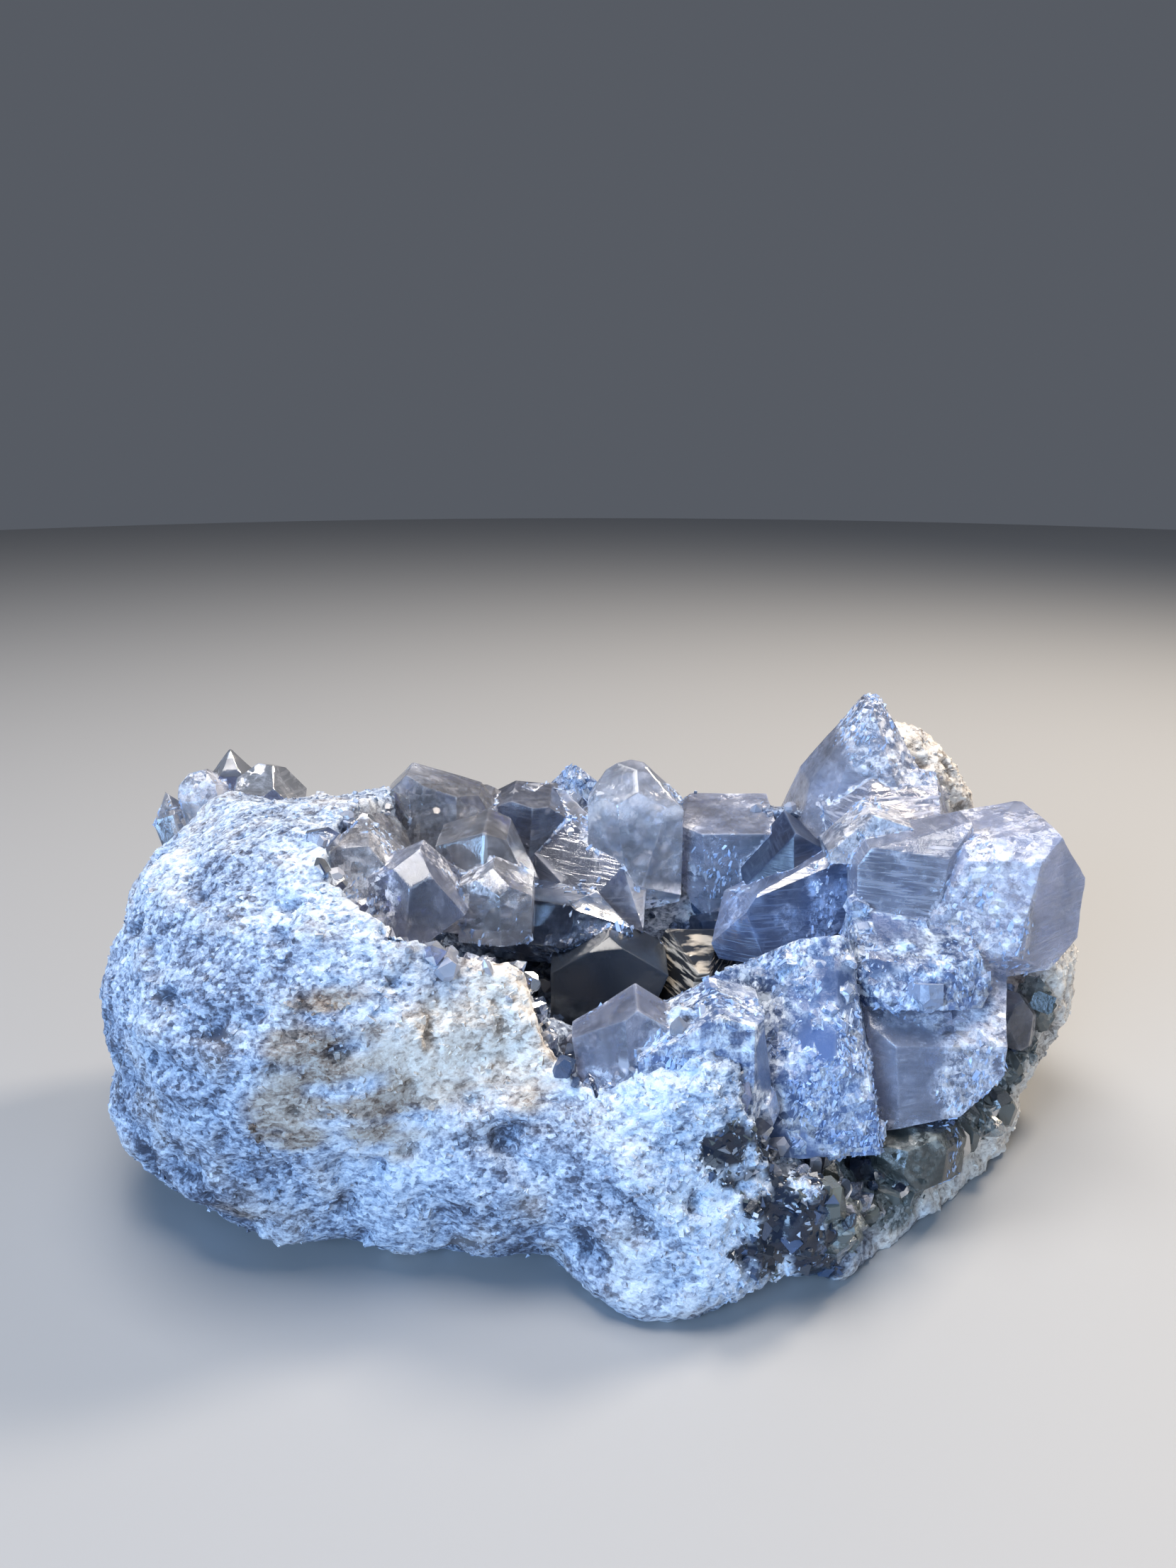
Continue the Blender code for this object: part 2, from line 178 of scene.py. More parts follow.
def stretched(tree, place, turn, scale):
    # the object's own coordinates, turned and squeezed, for streaks and flakes
    node = addNode(tree, "Mapping", {"Vector": place, "Scale": scale})
    node.inputs["Rotation"].default_value = [math.radians(a) for a in turn]
    return node.outputs[0]


# four colours from dark to light for each kind of rock. Noise has its scale (larger is
# finer), detail and roughness
rockLook = {
    "clean": [(0.055, 0.065, 0.10), (0.17, 0.21, 0.30), (0.38, 0.45, 0.57), (0.67, 0.73, 0.82)],
    "stained": [(0.03, 0.02, 0.015), (0.13, 0.085, 0.055), (0.28, 0.205, 0.145), (0.47, 0.42, 0.36)],
    # the warm ramp colours the cream spots and the painted warm sunlight on the right side
    "creamAndSunlit": [(0.26, 0.22, 0.185), (0.55, 0.48, 0.42), (0.80, 0.73, 0.65), (0.94, 0.89, 0.81)],
    "crust": [(0.02, 0.024, 0.027), (0.06, 0.075, 0.08), (0.16, 0.19, 0.20), (0.42, 0.46, 0.48)],
    "stops": (0.37, 0.46, 0.555, 0.68),
    "glass": (0.014, 0.020, 0.036),
    "speckle": (1250.0, 4.0, 0.62),
    "sugar": (2200.0, 2.0),
    "cloud": (110.0, 6.0, 0.65),
    "broad": (42.0, 2.0),
    "grainScale": 900.0,
    "flakeTurn": (20, 35, 10), "flakeStretch": (1.0, 1.0, 1.7),
    "level": -0.155,
    # the groove weight darkens the colour by the painted shade in grooves and pits, and on loose
    # grains by their own random darkness
    "weights": {"speckle": 0.42, "sugar": 0.16, "cloud": 0.36, "broad": 0.34, "flaky": 0.05,
                "grain": 0.16, "grooveShadeAndGrainTone": -0.18},
    "rough": 0.86, "sparkleRough": 0.22, "glassRough": 0.12,
    "sparkles": (0.90, 0.93),   # the few grains that shine
    "bump": 0.75, "bumpHeight": 0.0006,
    "grainRelief": 0.35, "glassSmooth": 0.85,
}


def rockMaterial():
    look = rockLook
    made, tree, shader = newMaterial("paleRock")
    place = addNode(tree, "TexCoord").outputs["Object"]
    # the tone layer's red is painted shade in the rock's grooves and pits, and random darkness on the
    # loose grains
    grooveShadeAndGrainTone, stain, glass = painted(tree, "tone")
    # the cast layer's red: cream spots and painted warm sunlight on the right side
    creamAndSunlit, crust, flaky = painted(tree, "cast")
    layered = stretched(tree, place, look["flakeTurn"], look["flakeStretch"])
    cells = addNode(tree, "TexVoronoi", {"Vector": layered, "Scale": look["grainScale"]})
    values = {key: noiseFac(tree, place, *look[key]) for key in ("sugar", "cloud", "broad")}
    values["speckle"] = noiseFac(tree, layered, *look["speckle"])
    values["grain"] = channels(tree, cells.outputs["Color"])[0]
    values.update({"flaky": flaky, "grooveShadeAndGrainTone": grooveShadeAndGrainTone})
    level = weighted(tree, look["level"], values, look["weights"])
    base = ramp(tree, level, look["stops"], look["clean"])
    for name, amount in (("stained", stain), ("creamAndSunlit", creamAndSunlit), ("crust", crust)):
        base = mixed(tree, amount, base, ramp(tree, level, look["stops"], look[name]))
    base = mixed(tree, glass, base, look["glass"])
    tree.links.new(base, shader.inputs["Base Color"])
    rough = remapped(tree, values["grain"], look["sparkles"], (look["rough"], look["sparkleRough"]))
    rough = blended(tree, glass, rough, look["glassRough"])
    tree.links.new(rough, shader.inputs["Roughness"])
    relief = sums(tree, "MULTIPLY_ADD", values["grain"], look["grainRelief"], level)
    matt = sums(tree, "MULTIPLY_ADD", glass, -look["glassSmooth"], 1.0)
    bump = addNode(tree, "Bump", {"Height": sums(tree, "MULTIPLY", relief, matt),
                                  "Strength": look["bump"], "Distance": look["bumpHeight"]})
    tree.links.new(bump.outputs[0], shader.inputs["Normal"])
    return made


# base colour, frost colour, share of light let through, roughness from clear to cloudy
# places, absorption colour and density, fine relief, turn of the streaks in degrees, size
# of the broken plates (larger is finer), strength of the cloudy sheets and the painted edge highlight
crystalLooks = {
    "clear": {"base": (0.66, 0.66, 0.71), "frost": (0.86, 0.88, 0.97), "through": 0.88,
              "rough": (0.02, 0.15), "absorb": (0.72, 0.78, 0.90), "density": 13.0,
              "bump": 0.12, "streaks": (10, 25, 0), "plates": 520.0, "veil": 0.3, "edges": 0.35},
    "milky": {"base": (0.45, 0.48, 0.61), "frost": (0.90, 0.90, 0.96), "through": 0.80,
              "rough": (0.03, 0.13), "absorb": (0.66, 0.72, 0.87), "density": 11.0,
              "bump": 0.2, "streaks": (0, 12, 20), "plates": 700.0, "veil": 0.25, "edges": 0.45},
    "blue": {"base": (0.06, 0.11, 0.27), "frost": (0.50, 0.66, 1.0), "through": 0.70,
             "rough": (0.32, 0.48), "absorb": (0.38, 0.50, 0.85), "density": 45.0,
             "bump": 0.15, "streaks": (0, 55, 10), "plates": 600.0, "veil": 0.2, "edges": 0.35},
    "deep": {"base": (0.035, 0.06, 0.13), "frost": (0.34, 0.46, 0.72), "through": 0.72,
             "rough": (0.08, 0.25), "absorb": (0.22, 0.34, 0.62), "density": 90.0,
             "bump": 0.15, "streaks": (0, -58, 10), "plates": 650.0, "veil": 0.15, "edges": 0.3},
    "dark": {"base": (0.024, 0.030, 0.042), "frost": (0.10, 0.12, 0.16), "through": 0.5,
             "rough": (0.10, 0.24), "absorb": (0.18, 0.23, 0.32), "density": 170.0,
             "bump": 0.15, "streaks": (0, -35, 20), "plates": 600.0, "veil": 0.0, "edges": 0.3},
    # gold: the cream frost colour, laid on the ribs, is a painted warm highlight on the striations
    "gold": {"base": (0.016, 0.018, 0.022), "frost": (0.95, 0.82, 0.66), "through": 0.1,
             "rough": (0.12, 0.25), "absorb": (0.15, 0.2, 0.28), "density": 200.0,
             "bump": 0.12, "streaks": (0, -20, 60), "plates": 600.0, "veil": 0.0, "edges": 0.1},
    "sage": {"base": (0.09, 0.105, 0.10), "frost": (0.40, 0.43, 0.41), "through": 0.6,
             "rough": (0.10, 0.30), "absorb": (0.45, 0.52, 0.50), "density": 80.0,
             "bump": 0.2, "streaks": (0, 20, 30), "plates": 700.0, "veil": 0.15, "edges": 0.3},
    "frosted": {"base": (0.13, 0.20, 0.40), "frost": (0.80, 0.88, 1.0), "through": 0.55,
                "rough": (0.10, 0.28), "absorb": (0.45, 0.58, 0.88), "density": 40.0,
                "bump": 0.5, "streaks": (0, 20, 30), "plates": 620.0, "veil": 0.2, "edges": 0.4},
    "scaly": {"base": (0.20, 0.32, 0.62), "frost": (0.72, 0.83, 1.0), "through": 0.1,
              "rough": (0.20, 0.40), "absorb": (0.6, 0.7, 0.9), "density": 0.0,
              "bump": 0.3, "streaks": (0, 20, 30), "plates": 620.0, "veil": 0.0, "edges": 0.4},
}

# what all the crystals share. Noise has its scale (larger is finer), detail, roughness
# and distortion. A range is where a pattern starts to show and where it is full
crystalPattern = {
    "cloud": (130.0, 5.0, 0.62, 0.4),
    "powder": (330.0, 7.0, 0.72),
    "wisp": (60.0, 7.0, 0.68, 1.6),
    "drift": (55.0, 3.0),
    "fleck": (1300.0, 4.0, 0.65), "fleckStretch": (1.2, 1.2, 0.6),
    "lines": (2000.0, 4.0), "lineStretch": (0.08, 0.08, 1.0),
    "plateStretch": (1.0, 1.0, 1.7), "plateLean": 1.1,
    "patch": {"drift": 1.2, "cloud": 0.6, "frost": 0.75}, "patchLevel": -0.86,
    "patchRange": (0.36, 0.56),
    "broken": {"plate": 0.30, "fleck": 0.9}, "brokenRange": (0.52, 0.74),
    "softRange": (0.43, 0.57),
    "kindRange": (0.44, 0.56),
    "veilWidth": 0.07, "veilBreaks": (0.42, 0.62),
    # by pointiness: where the painted highlight on the edges starts and where it is full
    "edgeHighlightRange": (0.51, 0.57),
    "ribRange": (0.50, 0.62), "ribWhite": 0.55,
    "tones": (0.5, 1.5),
    "unevenRange": (0.35, 0.65), "uneven": (0.7, 1.3),
    "whiteBlocks": 0.85,
    "roughRange": (0.38, 0.66), "frostRough": 0.15,
    "ior": 1.62,
    "ribRelief": 0.35, "frostRelief": 0.5,
    "bump": 0.6, "bumpHeight": 0.0004,
}


def crystalMaterial(name, look):
    shared = crystalPattern
    made, tree, shader = newMaterial(name + "Crystal")
    place = addNode(tree, "TexCoord").outputs["Object"]
    surface = addNode(tree, "NewGeometry")
    forFlecks, forLines, forPlates = (stretched(tree, place, look["streaks"], shared[key])
                                      for key in ("fleckStretch", "lineStretch", "plateStretch"))
    values = {key: noiseFac(tree, place, *shared[key])
              for key in ("cloud", "powder", "wisp", "drift")}
    values["frost"], tone, streak = painted(tree, "grow")
    values["fleck"] = noiseFac(tree, forFlecks, *shared["fleck"])
    plate = addNode(tree, "TexVoronoi", {"Vector": forPlates, "Scale": look["plates"]})
    values["plate"] = channels(tree, plate.outputs["Color"])[0]
    # frosted patches, broken into flecks or soft powder
    patch = weighted(tree, shared["patchLevel"], values, shared["patch"])
    patch = remapped(tree, patch, shared["patchRange"])
    broken = remapped(tree, weighted(tree, 0.0, values, shared["broken"]), shared["brokenRange"])
    soft = remapped(tree, values["powder"], shared["softRange"])
    kind = remapped(tree, values["wisp"], shared["kindRange"])
    flecks = sums(tree, "MULTIPLY", patch, blended(tree, kind, broken, soft))
    # thin cloudy sheets
    ridge = sums(tree, "ABSOLUTE", sums(tree, "SUBTRACT", values["wisp"], 0.5))
    veil = remapped(tree, ridge, (0.0, shared["veilWidth"]), (look["veil"], 0.0))
    veil = sums(tree, "MULTIPLY", veil, remapped(tree, values["powder"], shared["veilBreaks"]))
    # painted highlight: the crystals' edges turn toward the frost colour by their pointiness
    edges = remapped(tree, surface.outputs["Pointiness"], shared["edgeHighlightRange"], (0.0, look["edges"]))
    ribs = remapped(tree, noiseFac(tree, forLines, *shared["lines"]), shared["ribRange"])
    ribs = sums(tree, "MULTIPLY", ribs, streak)
    whitening = sums(tree, "MULTIPLY", ribs, shared["ribWhite"])
    for other in (veil, flecks, edges):
        whitening = sums(tree, "MAXIMUM", whitening, other)
    # the colour, darker or lighter by crystal and by place
    shade = sums(tree, "MULTIPLY", remapped(tree, tone, (0.0, 1.0), shared["tones"]),
                 remapped(tree, values["drift"], shared["unevenRange"], shared["uneven"]))
    base = mixed(tree, whitening, vectors(tree, "SCALE", look["base"], shade), look["frost"])
    tree.links.new(base, shader.inputs["Base Color"])
    kept = sums(tree, "MULTIPLY_ADD", whitening, -shared["whiteBlocks"], 1.0)
    through = sums(tree, "MULTIPLY", kept, look["through"])
    tree.links.new(through, shader.inputs["Transmission Weight"])
    rough = remapped(tree, values["cloud"], shared["roughRange"], look["rough"])
    rough = sums(tree, "MULTIPLY_ADD", flecks, shared["frostRough"], rough)
    tree.links.new(rough, shader.inputs["Roughness"])
    shader.inputs["IOR"].default_value = shared["ior"]
    height = sums(tree, "MULTIPLY", values["fleck"], look["bump"])
    height = sums(tree, "MULTIPLY_ADD", ribs, shared["ribRelief"], height)
    height = sums(tree, "MULTIPLY_ADD", flecks, shared["frostRelief"], height)
    # each broken plate leans its own way
    lean = vectors(tree, "SUBTRACT", plate.outputs["Color"], (0.5, 0.5, 0.5))
    lean = vectors(tree, "SCALE", lean, sums(tree, "MULTIPLY", patch, shared["plateLean"]))
    tilted = vectors(tree, "NORMALIZE", vectors(tree, "ADD", surface.outputs["Normal"], lean))
    bump = addNode(tree, "Bump", {"Height": height, "Strength": shared["bump"],
                                  "Distance": shared["bumpHeight"], "Normal": tilted})
    tree.links.new(bump.outputs[0], shader.inputs["Normal"])
    if look["density"]:
        absorb = addNode(tree, "VolumeAbsorption", {"Color": (*look["absorb"], 1),
                                                    "Density": look["density"]})
        tree.links.new(absorb.outputs[0], tree.nodes["Material Output"].inputs["Volume"])
    return made


materials = {name: crystalMaterial(name, look) for name, look in crystalLooks.items()}
materials["rock"] = rockMaterial()
report("materials made")

# the hollow, to tell its wall from the outside: centre and half-axes, in mm
hollowLumps = [((2, 3, 66), (46, 35, 42)), ((-24, -11, 67), (26, 26, 24)),
               ((-2, -27, 52), (12, 20, 25)), ((60, -9, 48), (33, 40, 36)),
               ((50, -33, 32), (24, 26, 24)), ((29, -40, 40), (9.5, 16, 22)),
               ((20, -21, 56), (17, 17, 20))]
# relief in mm. A level is the height that stays where it was
rockShape = {
    "voxel": 0.9, "soften": 5,
    "lump": 0.55, "lumpSize": 8.0,
    "crumb": 0.38, "crumbSize": 2.1, "crumbEdge": 2.4, "crumbLevel": 0.55,
    "flake": 1.15, "flakeSize": (3.4, 3.4, 1.7), "flakeEdge": 2.2, "flakeLevel": 0.45,
    "flakeLean": (0.5, 0.4),
    "grit": 0.22, "gritSize": 1.4,
    "pit": 1.4, "pitSize": 5.0, "pitShift": (3, 7, 1), "pitFrom": 0.34, "pitEdge": 4.0,
    "scoop": 1.6, "scoopSize": 5.5, "scoopLevel": 0.3,
    # these two numbers set the painted shade in the grooves between crumbs
    "grooveFrom": 0.42, "grooveShade": 1.6,
    "glassSmooth": 0.85, "crustSmooth": 0.4,
}
# where the rock's looks change, sizes in mm. A reach is how far outside the hollow the
# crust goes, less than 0 where it starts inside. The band on the right has a back and a top
rockPaint = {
    "blotchSize": 8.0,
    "stainStreak": (13.0, 13.0, 3.5), "stainGrow": 1.5, "stainFade": 3.0, "stainMost": 0.9,
    "glassBreak": 3.2, "glassGrow": 1.5, "glassFrom": 0.25, "glassEdge": 5.0,
    "flakyGrow": 2.2,
    # the first of these breaks up the painted warm sunlight on the right side, the others shape the
    # cream spots
    "sunlitBlotch": 0.7, "warmGrow": 2.0, "warmSpotBlotch": 0.5,
    "crustReach": -1.5, "rightReach": -2.0, "bandReach": 5.5, "bandBack": 5, "bandTop": 44,
    "crustWave": 2.5, "crustWaveSize": 4.0, "crustFade": 2.0,
}
# places on the rock: centre and reach, in mm
stainSpots = [((-44, -43, 42), 13), ((-24, -42, 40), 12), ((-34, -46, 33), 12),
              ((-13, -41, 35), 9), ((-51, -43, 31), 9), ((-76, -20, 41), 8),
              ((-61, -35, 14), 10)]
glassSpots = [((30, -44, 26), 10), ((28, -50, 14), 10), ((29, -47, 35), 8), ((34, -43, 8), 10),
              ((19, -49, 27), 6), ((37, -38, 18), 9), ((12, -50, 33), 4), ((22, -48, 38), 5)]
flakySpots = [((20, -48, 22), 24), ((10, -46, 34), 14)]
warmSpots = [((-17, -34, 42), 15), ((-28, -38, 40), 11)]
# the warm white toward +X is painted warm sunlight on the rock's right side
rightSide = {"from": 34, "over": 30}   # the rock turns warm white toward +X


def hollowDepth(p):
    # about how far outside the hollow a point is, in mm, less than 0 inside
    best = math.inf
    for centre, radii in hollowLumps:
        length = math.hypot(*((p[i] - centre[i]) / radii[i] for i in range(3)))
        best = min(best, (length - 1) * min(radii))
    return best


def nearSpot(p, spots):
    # 1 at the middle of a spot, 0 from its reach on
    return max(0.0, *(1 - math.dist(p, centre) / reach for centre, reach in spots))


def waves(p, fade=1.0, octaves=3):
    return noise.fractal(p, fade, 2.0, octaves)


def rockPlace(p, depth):
    # what the rock is like at a point: stain, glass, flakes, cream and painted warm sunlight, crust
    here = rockPaint
    blotch = waves(p / here["blotchSize"])
    sx, sy, sz = here["stainStreak"]
    near = nearSpot(p, stainSpots)
    stain = clamped((near + waves(Vector((p.x / sx, p.y / sy, p.z / sz)))) * here["stainGrow"])
    stain *= clamped(near * here["stainFade"]) * here["stainMost"]
    near = nearSpot(p, glassSpots)
    glass = near * here["glassGrow"] + noise.noise(p / here["glassBreak"]) - here["glassFrom"]
    glass = clamped(glass * here["glassEdge"]) * (near > 0)
    flaky = clamped(nearSpot(p, flakySpots) * here["flakyGrow"])
    # painted warm sunlight: the rock grows warmer toward +X, on its sunlit right side
    creamAndSunlit = (p.x - rightSide["from"]) / rightSide["over"] + blotch * here["sunlitBlotch"]
    near = nearSpot(p, warmSpots)
    creamAndSunlit = clamped(max(creamAndSunlit, near * here["warmGrow"] + blotch * here["warmSpotBlotch"]))
    edge = here["crustReach"]
    if p.x > rightSide["from"]:
        inBand = p.y < here["bandBack"] and p.z < here["bandTop"]
        edge = here["bandReach"] if inBand else here["rightReach"]
    edge += noise.noise(p / here["crustWaveSize"]) * here["crustWave"]
    return stain, glass, flaky, creamAndSunlit, clamped((edge - depth) / here["crustFade"])


def rockRelief(p, glass, flaky, crust):
    # returns how far the surface moves, in mm, and the painted shade for its grooves and pits
    shape = rockShape
    cells = noise.voronoi(p / shape["crumbSize"])[0]
    dome = min((cells[1] - cells[0]) * shape["crumbEdge"], 1.0)
    move = (dome - shape["crumbLevel"]) * shape["crumb"]
    if flaky > 0:
        sx, sy, sz = shape["flakeSize"]
        leanX, leanZ = shape["flakeLean"]
        tilted = Vector(((p.x + p.z * leanX) / sx, p.y / sy, (p.z - p.x * leanZ) / sz))
        scales = noise.voronoi(tilted)[0]
        shingle = min((scales[1] - scales[0]) * shape["flakeEdge"], 1.0)
        move += ((shingle - shape["flakeLevel"]) * shape["flake"] - move) * flaky
    pitNoise = noise.noise(p / shape["pitSize"] + Vector(shape["pitShift"]))
    pit = clamped((pitNoise - shape["pitFrom"]) * shape["pitEdge"])
    grit = noise.noise(p / shape["gritSize"]) * shape["grit"]
    move = (move + grit) * (1 - shape["glassSmooth"] * glass) - pit * shape["pit"]
    move += waves(p / shape["lumpSize"]) * shape["lump"]
    if glass > 0:
        scoop = noise.voronoi(p / shape["scoopSize"])[0][0]
        move += (scoop * scoop - shape["scoopLevel"]) * shape["scoop"] * glass
    # painted shade: darker in the grooves between crumbs and in the pits
    grooveShadeAndGrainTone = clamped(shape["grooveFrom"] - dome) * shape["grooveShade"]
    return move * (1 - shape["crustSmooth"] * crust), max(grooveShadeAndGrainTone, pit)


def dressRock():
    rock = objectOf(nodes["matrix_rock"].data.copy(), "rock")
    melt = rock.modifiers.new("melt", "REMESH")
    melt.mode = "VOXEL"
    melt.voxel_size = rockShape["voxel"] * mm
    soften = rock.modifiers.new("soften", "SMOOTH")
    soften.iterations = rockShape["soften"]
    applyModifiers(rock)
    mesh = rock.data
    normals = [v.normal.copy() for v in mesh.vertices]
    tones = np.ones((len(mesh.vertices), 4), dtype=np.float32)
    casts = np.ones((len(mesh.vertices), 4), dtype=np.float32)
    depths = np.array([hollowDepth(v.co / mm) for v in mesh.vertices])
    for index, vertex in enumerate(mesh.vertices):
        p = vertex.co / mm
        stain, glass, flaky, creamAndSunlit, crust = rockPlace(p, depths[index])
        move, grooveShadeAndGrainTone = rockRelief(p, glass, flaky, crust)
        vertex.co += normals[index] * move * mm
        vertex.co.z = max(vertex.co.z, 0.0)
        # red of the tone layer: the painted shade of grooves and pits
        tones[index, :3] = (grooveShadeAndGrainTone, stain, glass)
        casts[index, :3] = (creamAndSunlit, crust, flaky)
    paint(mesh, "tone", tones)
    paint(mesh, "cast", casts)
    mesh.materials.clear()
    mesh.materials.append(materials["rock"])
    mesh.shade_smooth()
    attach(rock, "root")
    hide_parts("matrix_rock")
    report(f"rock: {countTriangles(mesh)} triangles")
    return rock, tones, casts, depths


crispAngle = 22   # degrees: an edge that turns more than this stays sharp


def setDown(piece, node):
    piece.data.shade_smooth()
    piece.data.set_sharp_from_angle(angle=math.radians(crispAngle))
    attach(piece, "root")
    if node:
        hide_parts(node)
    report(f"{piece.name}: {countTriangles(piece.data)} triangles")
    return piece


# small chips: corners and sides of a block, a wedge and a double point, about their middle
chipBlock = ([(-1, -1, -1), (1, -1, -1), (1, 1, -1), (-1, 1, -1),
              (-1, -1, 1), (1, -1, 1), (1, 1, 1), (-1, 1, 1)],
             [(0, 3, 2, 1), (4, 5, 6, 7), (0, 1, 5, 4), (1, 2, 6, 5), (2, 3, 7, 6), (3, 0, 4, 7)])
chipWedge = ([(-1, -1, -1), (1, -0.8, -1), (1, 0.8, -1), (-1, 1, -1), (-0.7, 0, 1), (0.9, 0.2, 0.7)],
             [(0, 3, 2, 1), (0, 1, 5, 4), (2, 3, 4, 5), (1, 2, 5), (3, 0, 4)])
chipPoint = ([(-1.2, 0, 0), (1.2, 0, 0), (0, -0.9, -0.7), (0, 0.9, -0.7), (0.2, 0.6, 0.9),
              (-0.2, -0.6, 0.9)],
             [(0, 3, 2), (0, 4, 3), (0, 5, 4), (0, 2, 5), (1, 2, 3), (1, 3, 4), (1, 4, 5),
              (1, 5, 2)])
chipKinds = {"shapes": (chipBlock, chipWedge, chipPoint), "shares": (0.2, 0.4, 0.4), "uneven": 0.22}


def surfacePlaces(mesh, count, rng, weights):
    # random points on a mesh, by area and by the weight of each triangle's corners
    mesh.calc_loop_triangles()
    corners = np.empty(len(mesh.vertices) * 3)
    mesh.vertices.foreach_get("co", corners)
    corners = corners.reshape(-1, 3)
    triangles = np.empty(len(mesh.loop_triangles) * 3, dtype=int)
    mesh.loop_triangles.foreach_get("vertices", triangles)
    triangles = triangles.reshape(-1, 3)
    a, b, c = (corners[triangles[:, i]] for i in range(3))
    cross = np.cross(b - a, c - a)
    area = np.linalg.norm(cross, axis=1)
    chance = area * weights[triangles].mean(axis=1)
    picked = rng.choice(len(triangles), size=count, p=chance / chance.sum())
    u, v = rng.random((2, count, 1))
    flip = u + v > 1
    u, v = np.where(flip, 1 - u, u), np.where(flip, 1 - v, v)
    places = a[picked] + (b - a)[picked] * u + (c - a)[picked] * v
    return places, cross[picked] / area[picked][:, None], triangles[picked][:, 0]


def frames(normals, rng, tilt, way=(0, 0, 0), spread=1.0):
    # three axes for each chip: long, wide, and about along the surface's normal
    up = normals + rng.normal(0, tilt, normals.shape)
    up /= np.linalg.norm(up, axis=1)[:, None]
    along = np.cross(np.cross(up, np.array(way) + rng.normal(0, spread, normals.shape)), up)
    along /= np.linalg.norm(along, axis=1)[:, None]
    return np.stack([along, np.cross(up, along), up], axis=1)


def chipSizes(shape, count, rng):
    # length, width and height of each chip, most of them short
    length = between(shape["length"], rng.random(count) ** shape["manySmall"])
    return np.stack([length, length * shape["width"], length * shape["height"]], axis=1) * mm


def chipMesh(name, layers, places, axes, sizes, rng, looks=None):
    # layers: the colour of each chip, by painted layer. looks: its material number
    shapes = chipKinds["shapes"]
    kinds = rng.choice(len(shapes), len(places), p=chipKinds["shares"])
    points, faces, order, start = [], [], [], 0
    for kind, (corners, sides) in enumerate(shapes):
        chosen = np.flatnonzero(kinds == kind)
        count = len(corners)
        local = rng.normal(0, chipKinds["uneven"], (len(chosen), count, 3)) + corners
        local *= sizes[chosen][:, None, :] / 2
        world = np.einsum("nvi,nij->nvj", local, axes[chosen]) + places[chosen][:, None]
        points.append(world.reshape(-1, 3))
        order.append(np.repeat(chosen, count))
        for first in range(start, start + len(chosen) * count, count):
            faces.extend([tuple(first + corner for corner in side) for side in sides])
        start += len(chosen) * count
    mesh = bpy.data.meshes.new(name)
    mesh.from_pydata(np.concatenate(points).tolist(), [], faces)
    order = np.concatenate(order)
    if looks is not None:
        firsts = [face[0] for face in faces]
        mesh.polygons.foreach_set("material_index", looks[order[firsts]].astype(np.int32))
    for layer, colours in layers.items():
        paint(mesh, layer, colours[order])
    return objectOf(mesh, name)


lowestChip = 3.0   # mm above the resting plane


def aboveFloor(rock):
    # 1 where a loose piece may sit, 0 close to the resting plane
    return np.array([v.co.z > lowestChip * mm for v in rock.data.vertices]) * 1.0


grainShape = {
    "seed": 7,
    "count": 20000,
    "length": (0.5, 1.5), "manySmall": 2,
    "width": 0.6,
    "height": 0.45,
    "tilt": 0.4,
    "sunk": 0.25,
    "darkest": 0.35, "fewDark": 2,
    "offGlass": 0.93,   # the share that the dark glass goes without
    "moreOnFlakes": 2,
}


def sprinkleGrains(rock, tones, casts):
    shape = grainShape
    rng = np.random.default_rng(shape["seed"])
    glass, crust, flaky = tones[:, 2], casts[:, 1], casts[:, 2]
    weights = (1 - shape["offGlass"] * glass) * (1 - crust) * (1 + shape["moreOnFlakes"] * flaky)
    weights *= aboveFloor(rock)
    places, normals, near = surfacePlaces(rock.data, shape["count"], rng, weights)
    axes = frames(normals, rng, shape["tilt"])
    sizes = chipSizes(shape, len(places), rng)
    places = places - normals * sizes[:, 2:3] * shape["sunk"]
    ownTones = tones[near].copy()
    # each grain gets its own random darkness in the channel where the rock carries its painted shade
    ownTones[:, 0] = shape["darkest"] * rng.random(len(places)) ** shape["fewDark"]
    ownTones[:, 2] = 0
    grains = chipMesh("rockGrains", {"tone": ownTones, "cast": casts[near]}, places, axes, sizes, rng)
    grains.data.materials.append(materials["rock"])
    setDown(grains, None)


# broken glassy pieces where the rock is dark glass or grey-green crust. Each look has
# its share of the pieces
shardShape = {
    "seed": 31,
    "count": 2200,
    "length": (0.8, 3.0), "manySmall": 2.2,
    "width": 0.75,
    "height": 0.45,
    "tilt": 0.22,
    "sunk": 0.5,
    "deepTones": 1.5,
    "inCrust": 0.4, "crustUpTo": 0.5, "glassFrom": 0.4,
    "glassLooks": {"dark": 0.68, "deep": 0.27, "clear": 0.05},
    "crustLooks": {"sage": 0.75, "clear": 0.25},
}
shardLooks = ("dark", "deep", "clear", "sage")


def scatterShards(rock, tones, casts):
    shape = shardShape
    rng = np.random.default_rng(shape["seed"])
    glass, crust = tones[:, 2], casts[:, 1]
    right = np.array([v.co.x > rightSide["from"] * mm for v in rock.data.vertices])
    weights = glass + shape["inCrust"] * crust * right * (glass < shape["crustUpTo"])
    places, normals, near = surfacePlaces(rock.data, shape["count"], rng,
                                          weights * aboveFloor(rock))
    axes = frames(normals, rng, shape["tilt"])
    sizes = chipSizes(shape, len(places), rng)
    places = places - normals * sizes[:, 2:3] * shape["sunk"]
    colours = np.zeros((len(places), 4))
    colours[:, 1] = rng.random(len(places)) ** shape["deepTones"]
    colours[:, 3] = 1
    draws = []
    for looks in (shape["glassLooks"], shape["crustLooks"]):
        numbers = [shardLooks.index(look) for look in looks]
        draws.append(rng.choice(numbers, len(places), p=list(looks.values())))
    chosen = np.where(glass[near] > shape["glassFrom"], *draws)
    shards = chipMesh("glassShards", {"grow": colours}, places, axes, sizes, rng, chosen)
    for look in shardLooks:
        shards.data.materials.append(materials[look])
    setDown(shards, None)


